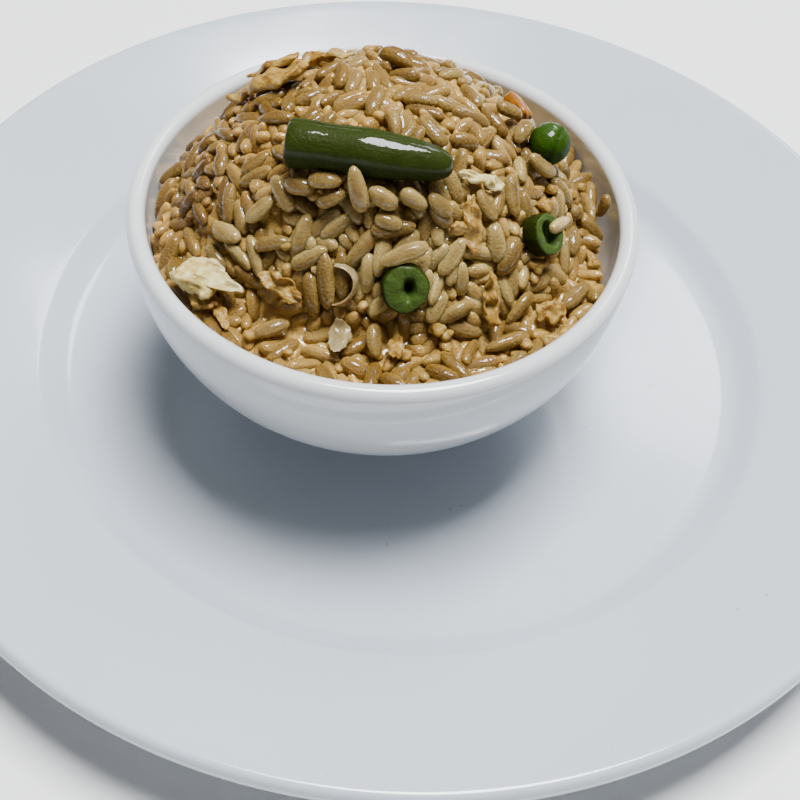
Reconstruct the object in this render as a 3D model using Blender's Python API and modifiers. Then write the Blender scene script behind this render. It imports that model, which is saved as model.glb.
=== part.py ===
"""Fried rice heaped in a small white bowl that stands on a wide-rimmed plate.

The plate and the bowl are turned. The rice is one solid: a core that fills the bowl and swells into a dome
above its rim, with grains and egg crumbs fused on. Beans, egg, onion and carrot lie on the bare core, each
a solid of its own. Metres, +Z up. The origin is the middle of the plate, on the plane of its foot ring, and
the front faces -Y. The bowl's axis stands a little off the middle, and heap places are measured from it.
"""

import math
import random
from typing import NamedTuple

import bmesh
import bpy
from mathutils import Matrix, Vector
from mathutils.bvhtree import BVHTree


class Flake(NamedTuple):
    """A flake or strip on the heap: its two ends, its sizes, and how it lifts, waves and curls."""

    start: tuple
    end: tuple
    width: float
    thickness: float
    lift: float
    wave: float
    curl: float
    finish: str


# Plate
PLATE_RADIUS = 0.1296
PLATE_HEIGHT = 0.0240
PLATE_FLOOR = 0.0052
WELL_RADIUS = 0.0860
SHOULDER_RADIUS = 0.0924
SHOULDER_HEIGHT = 0.0110
PLATE_WALL = 0.0036
PLATE_EDGE = 0.0042
PLATE_EDGE_FILLET = 0.0019
PLATE_EDGE_LOSS = 0.0009
WELL_FILLET = 0.007
SHOULDER_FILLET = 0.005
UNDER_SHOULDER_SHIFT = 0.0016
UNDER_SHOULDER_FILLET = 0.006
UNDER_WELL_SHIFT = 0.0026
UNDER_WELL_FILLET = 0.003
PLATE_FOOT_RADIUS = 0.0815
PLATE_FOOT_WIDTH = 0.0040
PLATE_FOOT_HEIGHT = 0.0022
FOOT_SLANT = 0.0005
PLATE_STEPS = 48

# Bowl
BOWL_X = -0.0071
BOWL_Y = -0.0048
BOWL_RADIUS = 0.0580
BOWL_TOP = 0.0610
BOWL_LIP = 0.0043
BOWL_FLOOR = 0.0130
BOWL_ROUNDNESS = 2.3
BOWL_OUTER_DEPTH = 0.0508
BOWL_OUTER_ROUNDNESS = 2.2
BOWL_FOOT_RADIUS = 0.0290
BOWL_FOOT_WIDTH = 0.0034
BOWL_FOOT_BASE = 0.0055
BOWL_UNDERSIDE = 0.0094
BOWL_STEPS = 40
BOWL_INNER_STEPS = 6
BOWL_LIP_STEPS = 4
BOWL_OUTER_STEPS = 4

# Bare core of the heap, seen from the bowl's axis
CORE_GAP = 0.0009
DOME_RINGS = 7
SHELF_RINGS = 3
LINING_RINGS = 5
FOOT_SHARE = 0.99
DOME_X = -0.0015
DOME_Y = 0.0015
DOME_BASE = 0.0534
DOME_RISE = 0.0330
DOME_POWER = 2.4
DOME_REACH = 0.0486
DOME_FRONT_CUT = 0.0090
SHELF_HEIGHT = 0.0544
SHELF_BLEND = 0.0015

# Where the shelf stops short of the wall: direction, spread and width of each gap, and how it falls away there
SIDE_GAPS = ((math.radians(3), math.radians(16), 0.0062), (math.radians(-160), math.radians(20), 0.0032))
GAP_FALL = 1.5
EDGE_WIDTH = 0.0005
EDGE_DROP = 0.0003
NARROWEST_SHELF = 0.0020

# Grains fused to the core
GRAIN_SEED = 11
GRAIN_COUNT = 200
GRAIN_LENGTH = (0.0074, 0.0096)
GRAIN_WIDTH = (0.0030, 0.0036)
GRAIN_SINK = 0.0007
GRAIN_TILT = math.radians(22)
GRAIN_CHOICES = 14
GRAIN_TRIES = 6
GRAIN_SIDES = 5
GRAIN_RINGS = 3
GRAIN_BLUNTNESS = 0.8
GRAIN_FULLNESS = 1.8
STEEPEST = 2.2

# Egg crumbs fused to the core: place and size
CRUMBS = {
    (0.0061, -0.0423): 0.0056,
    (0.0138, -0.0342): 0.0050,
    (0.0339, -0.0086): 0.0050,
    (0.0392, -0.0014): 0.0054,
    (0.0322, -0.0204): 0.0060,
    (0.0380, -0.0340): 0.0048,
    (-0.0200, -0.0250): 0.0044,
    (-0.0060, 0.0260): 0.0050,
    (0.0120, 0.0330): 0.0048,
    (-0.0330, 0.0010): 0.0046,
}
CRUMB_SINK = 0.3
CRUMB_UNEVENNESS = 0.22

# Clearance between two pieces, between a topping and the core under it, and under a level cut face
TOUCH_GAP = 0.0004
REST_GAP = 0.0005
SLICE_GAP = 0.0009

# Long bean
BEAN_START = (-0.0179, -0.0122)
BEAN_END = (0.0119, -0.0145)
BEAN_RADIUS = 0.0049
BEAN_BOW = 0.0008
BEAN_STATIONS = 9
BEAN_BEVEL_RESOLUTION = 3
BEAN_CROWDING = 0.35
BEAN_TRIM = 0.12
BEAN_TRIM_SHARE = 0.06
BEAN_TIP = 0.34
BEAN_TAPER_START = 0.62

# Bean slices and the pea
RING_SPOT = (0.0059, -0.0308)
RING_RADIUS = 0.0052
RING_THICKNESS = 0.0050
RING_HOLE = (0.0012, 0.0028)
RING_HOLE_SHIFT = 0.0010
SIDE_RING_SPOT = (0.0326, -0.0147)
SIDE_RING_RADIUS = 0.0046
SIDE_RING_THICKNESS = 0.0046
SIDE_RING_HOLE = (0.0016, 0.0030)
SLICE_OVAL = 0.96
SLICE_SIDES = 18
HOLE_SIDES = 12
PEA_SPOT = (0.0316, 0.0040)
PEA_RADIUS = 0.0046
PEA_STRETCH = (1.04, 0.96, 0.97)

# Onion, carrot and the stray grain on the bowl's wall
ONION_SPOT = (-0.0079, -0.0314)
ONION_RADIUS = 0.0046
ONION_HEIGHT = 0.0030
ONION_THICKNESS = 0.0007
ONION_LEAN = 0.12
ONION_STATIONS = 12
ONION_SWEEP = math.radians(190)
CARROT_SPOT = (0.0263, 0.0142)
CARROT_SIZE = (0.0075, 0.0042, 0.0034)
CARROT_ROUNDING = 0.0008
STRAY_TURN = math.radians(6.3)
STRAY_LEAN = math.radians(-80)
STRAY_HEIGHT = 0.0592
STRAY_LENGTH = 0.0062
STRAY_WIDTH = 0.0030

# Flakes and strips of egg and onion
FLAKES = {
    "egg_chunk": Flake((-0.0374, -0.0236), (-0.0258, -0.0288), 0.0076, 0.0030, 0.0004, 0.0008, 0.0004, "egg_white"),
    "egg_corner": Flake((-0.0392, -0.0308), (-0.0326, -0.0366), 0.0042, 0.0022, 0.0002, 0.0006, 0.0, "cooked_egg"),
    "egg_fold": Flake((-0.0335, 0.0130), (-0.0165, 0.0085), 0.0078, 0.0020, 0.0016, 0.0009, 0.0014, "cooked_egg"),
    "egg_back": Flake((-0.0232, 0.0176), (-0.0098, 0.0176), 0.0048, 0.0024, 0.0006, 0.0007, 0.0002, "cooked_egg"),
    "egg_shred": Flake((0.0150, -0.0143), (0.0238, -0.0112), 0.0034, 0.0014, 0.0008, 0.0005, 0.0006, "egg_white"),
    "egg_curl": Flake((0.0178, -0.0182), (0.0200, -0.0232), 0.0066, 0.0016, 0.0006, 0.0009, 0.0008, "cooked_egg"),
    "egg_crease": Flake((-0.0225, -0.0292), (-0.0150, -0.0322), 0.0058, 0.0018, 0.0006, 0.0009, 0.0008, "cooked_egg"),
    "egg_ridge": Flake((0.0234, -0.0258), (0.0240, -0.0306), 0.0040, 0.0018, 0.0006, 0.0006, 0.0003, "cooked_egg"),
    "egg_nub": Flake((0.0350, -0.0278), (0.0412, -0.0258), 0.0066, 0.0030, 0.0, 0.0006, 0.0, "cooked_egg"),
    "onion_flake": Flake((-0.0062, -0.0356), (-0.0062, -0.0392), 0.0058, 0.0010, 0.0006, 0.0006, 0.0006, "onion"),
}
FLAKE_STATIONS = 6
FLAKE_STRIPS = 3
FLAKE_TIP = 0.30
FLAKE_SQUARENESS = 2.5
FLAKE_RAGGEDNESS = 0.20
RAG_WAVES = (5.0, 2.0)
LIFT_WAVES = (4.2, 2.1)

# Base colours (linear) and roughness
FINISHES = {
    "plate_glaze": ((0.66, 0.70, 0.76), 0.16),
    "bowl_glaze": ((0.74, 0.74, 0.73), 0.14),
    "fried_rice": ((0.38, 0.26, 0.12), 0.30),
    "green_bean": ((0.035, 0.075, 0.010), 0.28),
    "green_pea": ((0.045, 0.11, 0.008), 0.28),
    "cooked_egg": ((0.58, 0.44, 0.20), 0.42),
    "egg_white": ((0.74, 0.66, 0.44), 0.45),
    "onion": ((0.46, 0.36, 0.20), 0.30),
    "carrot": ((0.50, 0.16, 0.02), 0.35),
}

SERVING = "fried_rice_bowl"


def clear_scene():
    for thing in list(bpy.data.objects):
        bpy.data.objects.remove(thing, do_unlink=True)


def make_collection(name):
    collection = bpy.data.collections.new(name)
    bpy.context.scene.collection.children.link(collection)
    return collection


def make_finishes():
    """One Principled material for each entry of FINISHES."""
    for name, (colour, roughness) in FINISHES.items():
        material = bpy.data.materials.new(name)
        material.use_nodes = True
        shader = material.node_tree.nodes["Principled BSDF"]
        shader.inputs["Base Color"].default_value = (*colour, 1.0)
        shader.inputs["Roughness"].default_value = roughness
        shader.inputs["Metallic"].default_value = 0.0


def add(name, data, finish, parent=None, place=None, collection=SERVING):
    """An object in its collection, with its finish, standing at a place in its parent's frame."""
    thing = bpy.data.objects.new(name, data)
    bpy.data.collections[collection].objects.link(thing)
    data.materials.append(bpy.data.materials[finish])
    thing.parent = parent
    if place:
        thing.matrix_local = place
    return thing


def smooth_mesh(name, built):
    """The mesh of a bmesh, shaded smooth. The bmesh is freed."""
    for face in built.faces:
        face.smooth = True
    mesh = bpy.data.meshes.new(name)
    built.to_mesh(mesh)
    built.free()
    return mesh


def outline_mesh(name, outline):
    """A wire in the XZ plane through (radius, height) points."""
    mesh = bpy.data.meshes.new(name)
    points = [(radius, 0.0, height) for radius, height in outline]
    mesh.from_pydata(points, [(index, index + 1) for index in range(len(points) - 1)], [])
    return mesh


def turn(thing, steps):
    """Turns an outline about Z into a closed solid."""
    screw = thing.modifiers.new("Turned", "SCREW")
    screw.axis = "Z"
    screw.steps = steps
    screw.render_steps = steps
    screw.use_merge_vertices = True
    screw.merge_threshold = 0.00001
    screw.use_smooth_shade = True


def rounded(corners, arc_step=math.radians(45)):
    """The outline through (radius, height, fillet) corners, each fillet an arc tangent to both sides."""
    outline = []
    for index, (radius, height, fillet) in enumerate(corners):
        corner = Vector((radius, height))
        if not fillet:
            outline.append(corner)
            continue
        back = (Vector(corners[index - 1][:2]) - corner).normalized()
        ahead = (Vector(corners[index + 1][:2]) - corner).normalized()
        half = back.angle(ahead) / 2
        centre = corner + (back + ahead).normalized() * fillet / math.sin(half)
        start = corner + back * fillet / math.tan(half) - centre
        bend = math.copysign(math.pi - 2 * half, back.x * ahead.y - back.y * ahead.x)
        count = math.ceil(abs(bend) / arc_step)
        for step in range(count + 1):
            outline.append(centre + Matrix.Rotation(-bend * step / count, 2) @ start)
    return outline


def plate_outline():
    """From the middle of the floor, up the well's wall, out over the wide rim, and back under to the foot."""
    foot_inner = PLATE_FOOT_RADIUS - PLATE_FOOT_WIDTH
    corners = [
        (0.0, PLATE_FLOOR, 0),
        (WELL_RADIUS, PLATE_FLOOR, WELL_FILLET),
        (SHOULDER_RADIUS, SHOULDER_HEIGHT, SHOULDER_FILLET),
        (PLATE_RADIUS, PLATE_HEIGHT + PLATE_EDGE_LOSS, PLATE_EDGE_FILLET),
        (PLATE_RADIUS, PLATE_HEIGHT - PLATE_EDGE, PLATE_EDGE_FILLET),
        (SHOULDER_RADIUS + UNDER_SHOULDER_SHIFT, SHOULDER_HEIGHT - PLATE_WALL, UNDER_SHOULDER_FILLET),
        (WELL_RADIUS + UNDER_WELL_SHIFT, PLATE_FOOT_HEIGHT, UNDER_WELL_FILLET),
        (PLATE_FOOT_RADIUS + FOOT_SLANT, PLATE_FOOT_HEIGHT, 0),
        (PLATE_FOOT_RADIUS, 0.0, 0),
        (foot_inner, 0.0, 0),
        (foot_inner - FOOT_SLANT, PLATE_FOOT_HEIGHT, 0),
        (0.0, PLATE_FOOT_HEIGHT, 0),
    ]
    return rounded(corners)


def bowl_inner_wall(angle, gap=0.0):
    """The inner wall, a superellipse: angle 0 is under the lip, a right angle is the middle of the floor."""
    lip_height = BOWL_TOP - BOWL_LIP / 2
    reach = BOWL_RADIUS - BOWL_LIP - gap
    depth = lip_height - BOWL_FLOOR - gap
    power = 2 / BOWL_ROUNDNESS
    return reach * math.cos(angle) ** power, lip_height - depth * math.sin(angle) ** power


def bowl_outer_wall(angle):
    """The outer wall, a superellipse that is a little leaner than the inner one."""
    lip_height = BOWL_TOP - BOWL_LIP / 2
    power = 2 / BOWL_OUTER_ROUNDNESS
    radius = BOWL_RADIUS * math.cos(angle) ** power
    return radius, lip_height - BOWL_OUTER_DEPTH * math.sin(angle) ** power


def bowl_lip(angle):
    """The round lip: a half circle from the inner wall, at angle pi, to the outer one."""
    radius = BOWL_LIP / 2
    return BOWL_RADIUS - radius + radius * math.cos(angle), BOWL_TOP - radius + radius * math.sin(angle)


def bowl_outline():
    """Up the inner wall, over the lip, down the outer wall, and round the foot ring to the middle."""
    inner_step = math.pi / 2 / BOWL_INNER_STEPS
    inner = [(0.0, BOWL_FLOOR)]
    inner += [bowl_inner_wall(inner_step * step) for step in reversed(range(1, BOWL_INNER_STEPS))]
    lip = [bowl_lip(math.pi * (1 - step / BOWL_LIP_STEPS)) for step in range(BOWL_LIP_STEPS + 1)]
    foot_angle = math.acos((BOWL_FOOT_RADIUS / BOWL_RADIUS) ** (BOWL_OUTER_ROUNDNESS / 2))
    outer = [bowl_outer_wall(foot_angle * (step + 1) / BOWL_OUTER_STEPS) for step in range(BOWL_OUTER_STEPS)]
    foot_outer = BOWL_FOOT_RADIUS - FOOT_SLANT
    foot_inner = BOWL_FOOT_RADIUS - BOWL_FOOT_WIDTH
    foot = [
        (foot_outer, BOWL_FOOT_BASE),
        (foot_inner, BOWL_FOOT_BASE),
        (foot_inner - FOOT_SLANT, BOWL_UNDERSIDE),
        (0.0, BOWL_UNDERSIDE),
    ]
    return inner + lip + outer + foot


def dome_reach(around):
    """How far the dome's foot stands from its middle in a direction."""
    return DOME_REACH - DOME_FRONT_CUT * max(-math.sin(around), 0.0) ** 2


def side_gap(around):
    """How far the shelf's edge stands from the bowl's inner wall in a direction."""
    turns = [(math.remainder(around - middle, 2 * math.pi) / spread, width) for middle, spread, width in SIDE_GAPS]
    return sum(width * math.exp(-(turned**2) / 2) for turned, width in turns)


def heap_height(x, y):
    """Height of the bare core: a blunt dome, cut back at the front, that runs softly out into a level shelf.

    Beyond the shelf's edge the rice falls away towards the wall.
    """
    across = x - DOME_X
    along = y - DOME_Y
    share = math.hypot(across, along) / dome_reach(math.atan2(along, across))
    dome = DOME_BASE + DOME_RISE * (1 - min(share, 1.25) ** DOME_POWER)
    over = (dome - SHELF_HEIGHT) / SHELF_BLEND
    beyond = math.hypot(x, y) - (BOWL_RADIUS - BOWL_LIP - side_gap(math.atan2(y, x)))
    blended = SHELF_HEIGHT + SHELF_BLEND * (max(over, 0.0) + math.log1p(math.exp(-abs(over))))
    return blended - GAP_FALL * max(beyond, 0.0)


def heap_normal(x, y, reach=0.0005):
    """The core's outward direction, from its slope over a millimetre."""
    slope_x = (heap_height(x + reach, y) - heap_height(x - reach, y)) / (2 * reach)
    slope_y = (heap_height(x, y + reach) - heap_height(x, y - reach)) / (2 * reach)
    return Vector((-slope_x, -slope_y, 1.0)).normalized()


def heap_point(spot, lift=0.0):
    """The point this far off the core at a spot (x, y)."""
    return Vector((*spot, heap_height(*spot))) + heap_normal(*spot) * lift


def heap_frame(spot, heading, lift=0.0):
    """A frame at a spot: Z stands off the core, X runs along it towards the heading."""
    up = heap_normal(*spot)
    forward = (heading - up * heading.dot(up)).normalized()
    frame = Matrix((forward, up.cross(forward), up)).transposed().to_4x4()
    frame.translation = heap_point(spot, lift)
    return frame


def on_heap(frame, along, across, lift):
    """The point at (along, across) in the frame's plane, drawn in until it is the lift clear of the core."""
    up = frame.col[2].xyz
    point = frame @ Vector((along, across, 0.0))
    for _ in range(3):
        clear = (point.z - heap_height(point.x, point.y)) * up.z
        point = point + up * (lift - clear)
    return point


def sheet(stations, strips, place):
    """A grid whose points place(u, v) gives, u and v from 0 to 1."""
    grid = bmesh.new()
    bmesh.ops.create_grid(grid, x_segments=stations, y_segments=strips, size=0.5)
    for corner in grid.verts:
        corner.co = place(corner.co.x + 0.5, corner.co.y + 0.5)
    bmesh.ops.triangulate(grid, faces=grid.faces)
    return grid


def add_flake(name, parent):
    """A ragged flake that follows the heap between its two ends, wavy and curled up at the ends.

    It is extruded straight off the heap, so that its faces never cross, however it waves.
    """
    flake = FLAKES[name]
    first, last = heap_point(flake.start), heap_point(flake.end)
    middle = Vector(flake.start).lerp(Vector(flake.end), 0.5)
    frame = heap_frame(middle, last - first)
    length = (last - first).length
    phase = len(name) + flake.start[0] / flake.width

    def place(u, v):
        along = 2 * u - 1
        across = 2 * v - 1
        taper = FLAKE_TIP + (1 - FLAKE_TIP) * math.sqrt(1 - abs(along) ** FLAKE_SQUARENESS)
        ragged = 1 + FLAKE_RAGGEDNESS * math.sin(RAG_WAVES[0] * along + phase + RAG_WAVES[1] * across)
        lift = REST_GAP + flake.lift + flake.curl * along**2
        lift += flake.wave * (1 + math.sin(LIFT_WAVES[0] * along + phase) * math.cos(LIFT_WAVES[1] * across)) / 2
        return on_heap(frame, along * length / 2, across * taper * ragged * flake.width / 2, lift)

    built = sheet(FLAKE_STATIONS, FLAKE_STRIPS, place)
    raised = bmesh.ops.extrude_face_region(built, geom=built.faces)["geom"]
    tops = [item for item in raised if isinstance(item, bmesh.types.BMVert)]
    bmesh.ops.translate(built, vec=frame.col[2].xyz * flake.thickness, verts=tops)
    return add(name, smooth_mesh(name, built), flake.finish, parent)


def add_onion_ring(parent):
    """A thin curved slice that stands on its edge, open on its left."""
    frame = heap_frame(ONION_SPOT, Vector((1, 0, 0)))

    def place(u, v):
        angle = (u - 0.5) * ONION_SWEEP
        radius = ONION_RADIUS * (1 - ONION_LEAN * v)
        return on_heap(frame, radius * math.cos(angle), radius * math.sin(angle), REST_GAP + v * ONION_HEIGHT)

    thing = add("onion_ring", smooth_mesh("onion_ring", sheet(ONION_STATIONS, 1, place)), "onion", parent)
    wall = thing.modifiers.new("Thickness", "SOLIDIFY")
    wall.thickness = ONION_THICKNESS
    wall.offset = 1.0
    return thing


def bean_girth(share):
    """Girth along the bean: a trimmed edge, a full body, and an elliptical taper to the tip."""
    trimmed = 1 - BEAN_TRIM * max(1 - share / BEAN_TRIM_SHARE, 0.0)
    taper = max(share - BEAN_TAPER_START, 0.0) / (1 - BEAN_TAPER_START)
    return trimmed * (BEAN_TIP + (1 - BEAN_TIP) * math.sqrt(1 - 0.97 * taper**2.2))


def bean_axis():
    """Points along the bean's gently bowed axis, high enough for its body to clear the crown of the heap."""
    lift = REST_GAP + BEAN_RADIUS
    start, end = heap_point(BEAN_START, lift), heap_point(BEAN_END, lift)
    crown = heap_normal(*Vector(BEAN_START).lerp(Vector(BEAN_END), 0.5))
    shares = [index / (BEAN_STATIONS - 1) for index in range(BEAN_STATIONS)]
    shares = [share * (1 + BEAN_CROWDING - BEAN_CROWDING * share) for share in shares]
    straight = [start.lerp(end, share) for share in shares]
    raised = max(lift - (point.z - heap_height(point.x, point.y)) * crown.z for point in straight)
    bows = [raised + BEAN_BOW * 4 * share * (1 - share) for share in shares]
    return shares, [point + crown * bow for point, bow in zip(straight, bows)]


def add_long_bean(parent):
    """A bean cut square at its start and drawn to a round tip at its end."""
    curve = bpy.data.curves.new("bean_long", "CURVE")
    curve.dimensions = "3D"
    curve.bevel_depth = BEAN_RADIUS
    curve.bevel_resolution = BEAN_BEVEL_RESOLUTION
    curve.use_fill_caps = True
    spline = curve.splines.new("POLY")
    spline.points.add(BEAN_STATIONS - 1)
    for point, share, place in zip(spline.points, *bean_axis()):
        point.co = (*place, 1.0)
        point.radius = bean_girth(share)
    spline.use_smooth = True
    return add("bean_long", curve, "green_bean", parent)


def ellipse(curve, half_width, half_height, shift, count):
    """A closed outline of straight runs on an ellipse."""
    spline = curve.splines.new("POLY")
    spline.points.add(count - 1)
    spline.use_cyclic_u = True
    for index, point in enumerate(spline.points):
        angle = 2 * math.pi * index / count
        point.co = (shift + half_width * math.cos(angle), half_height * math.sin(angle), 0.0, 1.0)


def add_bean_slice(name, parent, spot, heading, radius, thickness, hole, hole_shift=0.0):
    """A slice across a bean, lying on a cut face: a round outline with its seed hollow, extruded."""
    curve = bpy.data.curves.new(name, "CURVE")
    curve.dimensions = "2D"
    curve.fill_mode = "BOTH"
    curve.extrude = thickness / 2
    ellipse(curve, radius * SLICE_OVAL, radius, 0.0, SLICE_SIDES)
    ellipse(curve, *hole, hole_shift, HOLE_SIDES)
    place = heap_frame(spot, Vector(heading), SLICE_GAP + thickness / 2)
    return add(name, curve, "green_bean", parent, place)


def add_pea(parent):
    """A pea, a little longer than wide."""
    ball = bmesh.new()
    bmesh.ops.create_uvsphere(ball, u_segments=12, v_segments=8, radius=PEA_RADIUS)
    bmesh.ops.scale(ball, vec=PEA_STRETCH, verts=ball.verts)
    place = heap_frame(PEA_SPOT, Vector((0.2, -1, 0)), REST_GAP + PEA_RADIUS)
    return add("pea", smooth_mesh("pea", ball), "green_pea", parent, place)


def add_carrot_bit(parent):
    """A small cut block of carrot with softened edges."""
    block = bmesh.new()
    bmesh.ops.create_cube(block, size=1.0)
    bmesh.ops.scale(block, vec=CARROT_SIZE, verts=block.verts)
    place = heap_frame(CARROT_SPOT, Vector((0.55, -0.84, 0)), SLICE_GAP + CARROT_SIZE[2] / 2)
    thing = add("carrot_bit", smooth_mesh("carrot_bit", block), "carrot", parent, place)
    bevel = thing.modifiers.new("Softened edges", "BEVEL")
    bevel.width = CARROT_ROUNDING
    bevel.segments = 1
    return thing


def grain(length, width):
    """A grain along X: a blunt spindle with few sides."""
    spindle = bmesh.new()
    bmesh.ops.create_uvsphere(spindle, u_segments=GRAIN_SIDES, v_segments=GRAIN_RINGS, radius=1.0)
    for corner in spindle.verts:
        x, y, z = corner.co
        share = math.copysign(abs(z) ** GRAIN_BLUNTNESS, z)
        corner.co = (share * length / 2, x * width / GRAIN_FULLNESS, y * width / GRAIN_FULLNESS)
    return spindle


def add_stray_grain(parent):
    """One grain that sticks to the inner wall, high on the right."""
    radius = BOWL_RADIUS - BOWL_LIP - CORE_GAP - STRAY_WIDTH / 2
    stand = Matrix.Rotation(STRAY_LEAN, 4, "Y")
    place = Matrix.Rotation(STRAY_TURN, 4, "Z") @ Matrix.Translation((radius, 0.0, STRAY_HEIGHT)) @ stand
    mesh = smooth_mesh("stray_grain", grain(STRAY_LENGTH, STRAY_WIDTH))
    return add("stray_grain", mesh, "fried_rice", parent, place)


def wall_angle(height):
    """The angle at which the core's lining along the inner wall is at a height."""
    lip_height = BOWL_TOP - BOWL_LIP / 2
    depth = lip_height - BOWL_FLOOR - CORE_GAP
    return math.asin(((lip_height - height) / depth) ** (BOWL_ROUNDNESS / 2))


def core_point(level, around):
    """A point of the bare core: the first rings lie on the dome, then come the shelf, its edge and the wall."""
    turned = Vector((math.cos(around), math.sin(around)))
    angle = wall_angle(SHELF_HEIGHT)
    edge = bowl_inner_wall(angle, CORE_GAP)[0] - side_gap(around) - EDGE_WIDTH
    sunk = level - DOME_RINGS - SHELF_RINGS
    if sunk >= 0:
        for _ in range(3):
            angle = wall_angle(heap_height(*turned * bowl_inner_wall(angle, CORE_GAP)[0]) - EDGE_DROP)
        radius, height = bowl_inner_wall(angle + (math.pi / 2 - angle) * sunk / LINING_RINGS, CORE_GAP)
        return Vector((*turned * radius, height))
    middle = Vector((DOME_X, DOME_Y))
    foot = min(dome_reach(around) * FOOT_SHARE, edge - middle.dot(turned) - NARROWEST_SHELF)
    spot = middle + turned * foot * math.sin(min(level / DOME_RINGS, 1.0) * math.pi / 2)
    return heap_point(spot.lerp(turned * edge, max(level - DOME_RINGS, 0) / (SHELF_RINGS - 1)))


def heap_core():
    """The bare core, from a ball whose rings are laid out anew."""
    ball = bmesh.new()
    rings = DOME_RINGS + SHELF_RINGS + LINING_RINGS
    bmesh.ops.create_uvsphere(ball, u_segments=BOWL_STEPS, v_segments=rings, radius=1.0)
    for corner in ball.verts:
        x, y, z = corner.co
        level = round(math.acos(max(-1.0, min(z, 1.0))) / math.pi * rings)
        corner.co = core_point(level, math.atan2(y, x))
    return ball


def crumb(spot, size, rule):
    """A lump of egg, sunk a little into the core."""
    lump = bmesh.new()
    bmesh.ops.create_icosphere(lump, subdivisions=1, radius=size / 2)
    for corner in lump.verts:
        corner.co *= 1 + CRUMB_UNEVENNESS * rule.uniform(-1, 1)
    lump.transform(Matrix.Translation(heap_point(spot, size * CRUMB_SINK)))
    return lump


def tree_of(things, parent):
    """The faces of these objects in their parent's frame, for finding what lies near."""
    graph = bpy.context.evaluated_depsgraph_get()
    points = []
    faces = []
    for thing in things:
        evaluated = thing.evaluated_get(graph)
        mesh = evaluated.to_mesh()
        place = parent.matrix_world.inverted() @ evaluated.matrix_world
        first = len(points)
        points += [place @ corner.co for corner in mesh.vertices]
        faces += [[first + index for index in face.vertices] for face in mesh.polygons]
        evaluated.to_mesh_clear()
    return BVHTree.FromPolygons(points, faces)


def in_bowl(point):
    """Whether a point is over the rim or clear of the inner wall."""
    if point.z > BOWL_TOP + TOUCH_GAP:
        return True
    lip_height = BOWL_TOP - BOWL_LIP / 2
    sunk = max(lip_height - point.z, 0.0) / (lip_height - BOWL_FLOOR)
    wall = (BOWL_RADIUS - BOWL_LIP) * (1 - sunk**BOWL_ROUNDNESS) ** (1 / BOWL_ROUNDNESS)
    return math.hypot(point.x, point.y) < wall - CORE_GAP


def clears(piece, toppings):
    """Whether a piece stays off the bowl's wall and off every topping, and isn't inside one."""
    if not all(in_bowl(corner.co) for corner in piece.verts):
        return False
    if any(toppings.find_nearest(corner.co)[3] < TOUCH_GAP for corner in piece.verts):
        return False
    centre = sum((corner.co for corner in piece.verts), Vector()) / len(piece.verts)
    normal = toppings.ray_cast(centre, Vector((0, 0, 1)))[1]
    inside = normal is not None and normal.z > 0
    return not inside and not BVHTree.FromBMesh(piece).overlap(toppings)


def free_spot(laid, rule):
    """Of a few places drawn evenly over the heap's surface, the one furthest from the grains laid so far."""
    choices = []
    while len(choices) < GRAIN_CHOICES:
        radius = (BOWL_RADIUS - BOWL_LIP) * math.sqrt(rule.random())
        around = rule.uniform(0, 2 * math.pi)
        spot = (radius * math.cos(around), radius * math.sin(around))
        if rule.random() * STEEPEST < 1 / heap_normal(*spot).z:
            choices.append(spot)
    return max(choices, key=lambda spot: min(((heap_point(spot) - other).length for other in laid), default=1.0))


def laid_grain(spot, length, width, rule):
    """A grain half sunk in the core at a spot, turned any way and tipped a little."""
    around = rule.uniform(0, math.pi)
    frame = heap_frame(spot, Vector((math.cos(around), math.sin(around), 0.0)), GRAIN_SINK)
    tip = Matrix.Rotation(rule.uniform(-GRAIN_TILT, GRAIN_TILT), 4, "Y")
    piece = grain(length, width)
    piece.transform(frame @ tip)
    return piece


def sow_grains(toppings, rule):
    """Grains spread over the core, the longest first: one that would cross something is turned and moved in."""
    lengths = sorted((rule.uniform(*GRAIN_LENGTH) for _ in range(GRAIN_COUNT)), reverse=True)
    laid = []
    pieces = []
    for length in lengths:
        width = rule.uniform(*GRAIN_WIDTH)
        spot = free_spot(laid, rule)
        for attempt in range(GRAIN_TRIES):
            spot = (spot[0] * (1 - 0.01 * attempt), spot[1] * (1 - 0.01 * attempt))
            piece = laid_grain(spot, length, width, rule)
            if clears(piece, toppings):
                pieces.append(piece)
                break
            piece.free()
        laid.append(heap_point(spot))
    return pieces


def shell_of(face, waiting):
    """Takes one shell out of the waiting faces: all that join this face across edges of two faces."""
    shell = [face]
    waiting.remove(face)
    for face in shell:
        for side in face.edges:
            if len(side.link_faces) == 2:
                joined = [other for other in side.link_faces if other in waiting]
                waiting.difference_update(joined)
                shell.extend(joined)
    return shell


def keep_largest_shell(mesh):
    """Keeps the biggest shell, so that a sealed hollow is filled and a loose scrap is dropped."""
    built = bmesh.new()
    built.from_mesh(mesh)
    waiting = set(built.faces)
    shells = [shell_of(face, waiting) for face in built.faces if face in waiting]
    shells.sort(key=len)
    scraps = [face for shell in shells[:-1] for face in shell]
    bmesh.ops.delete(built, geom=scraps, context="FACES")
    built.to_mesh(mesh)
    built.free()


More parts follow.
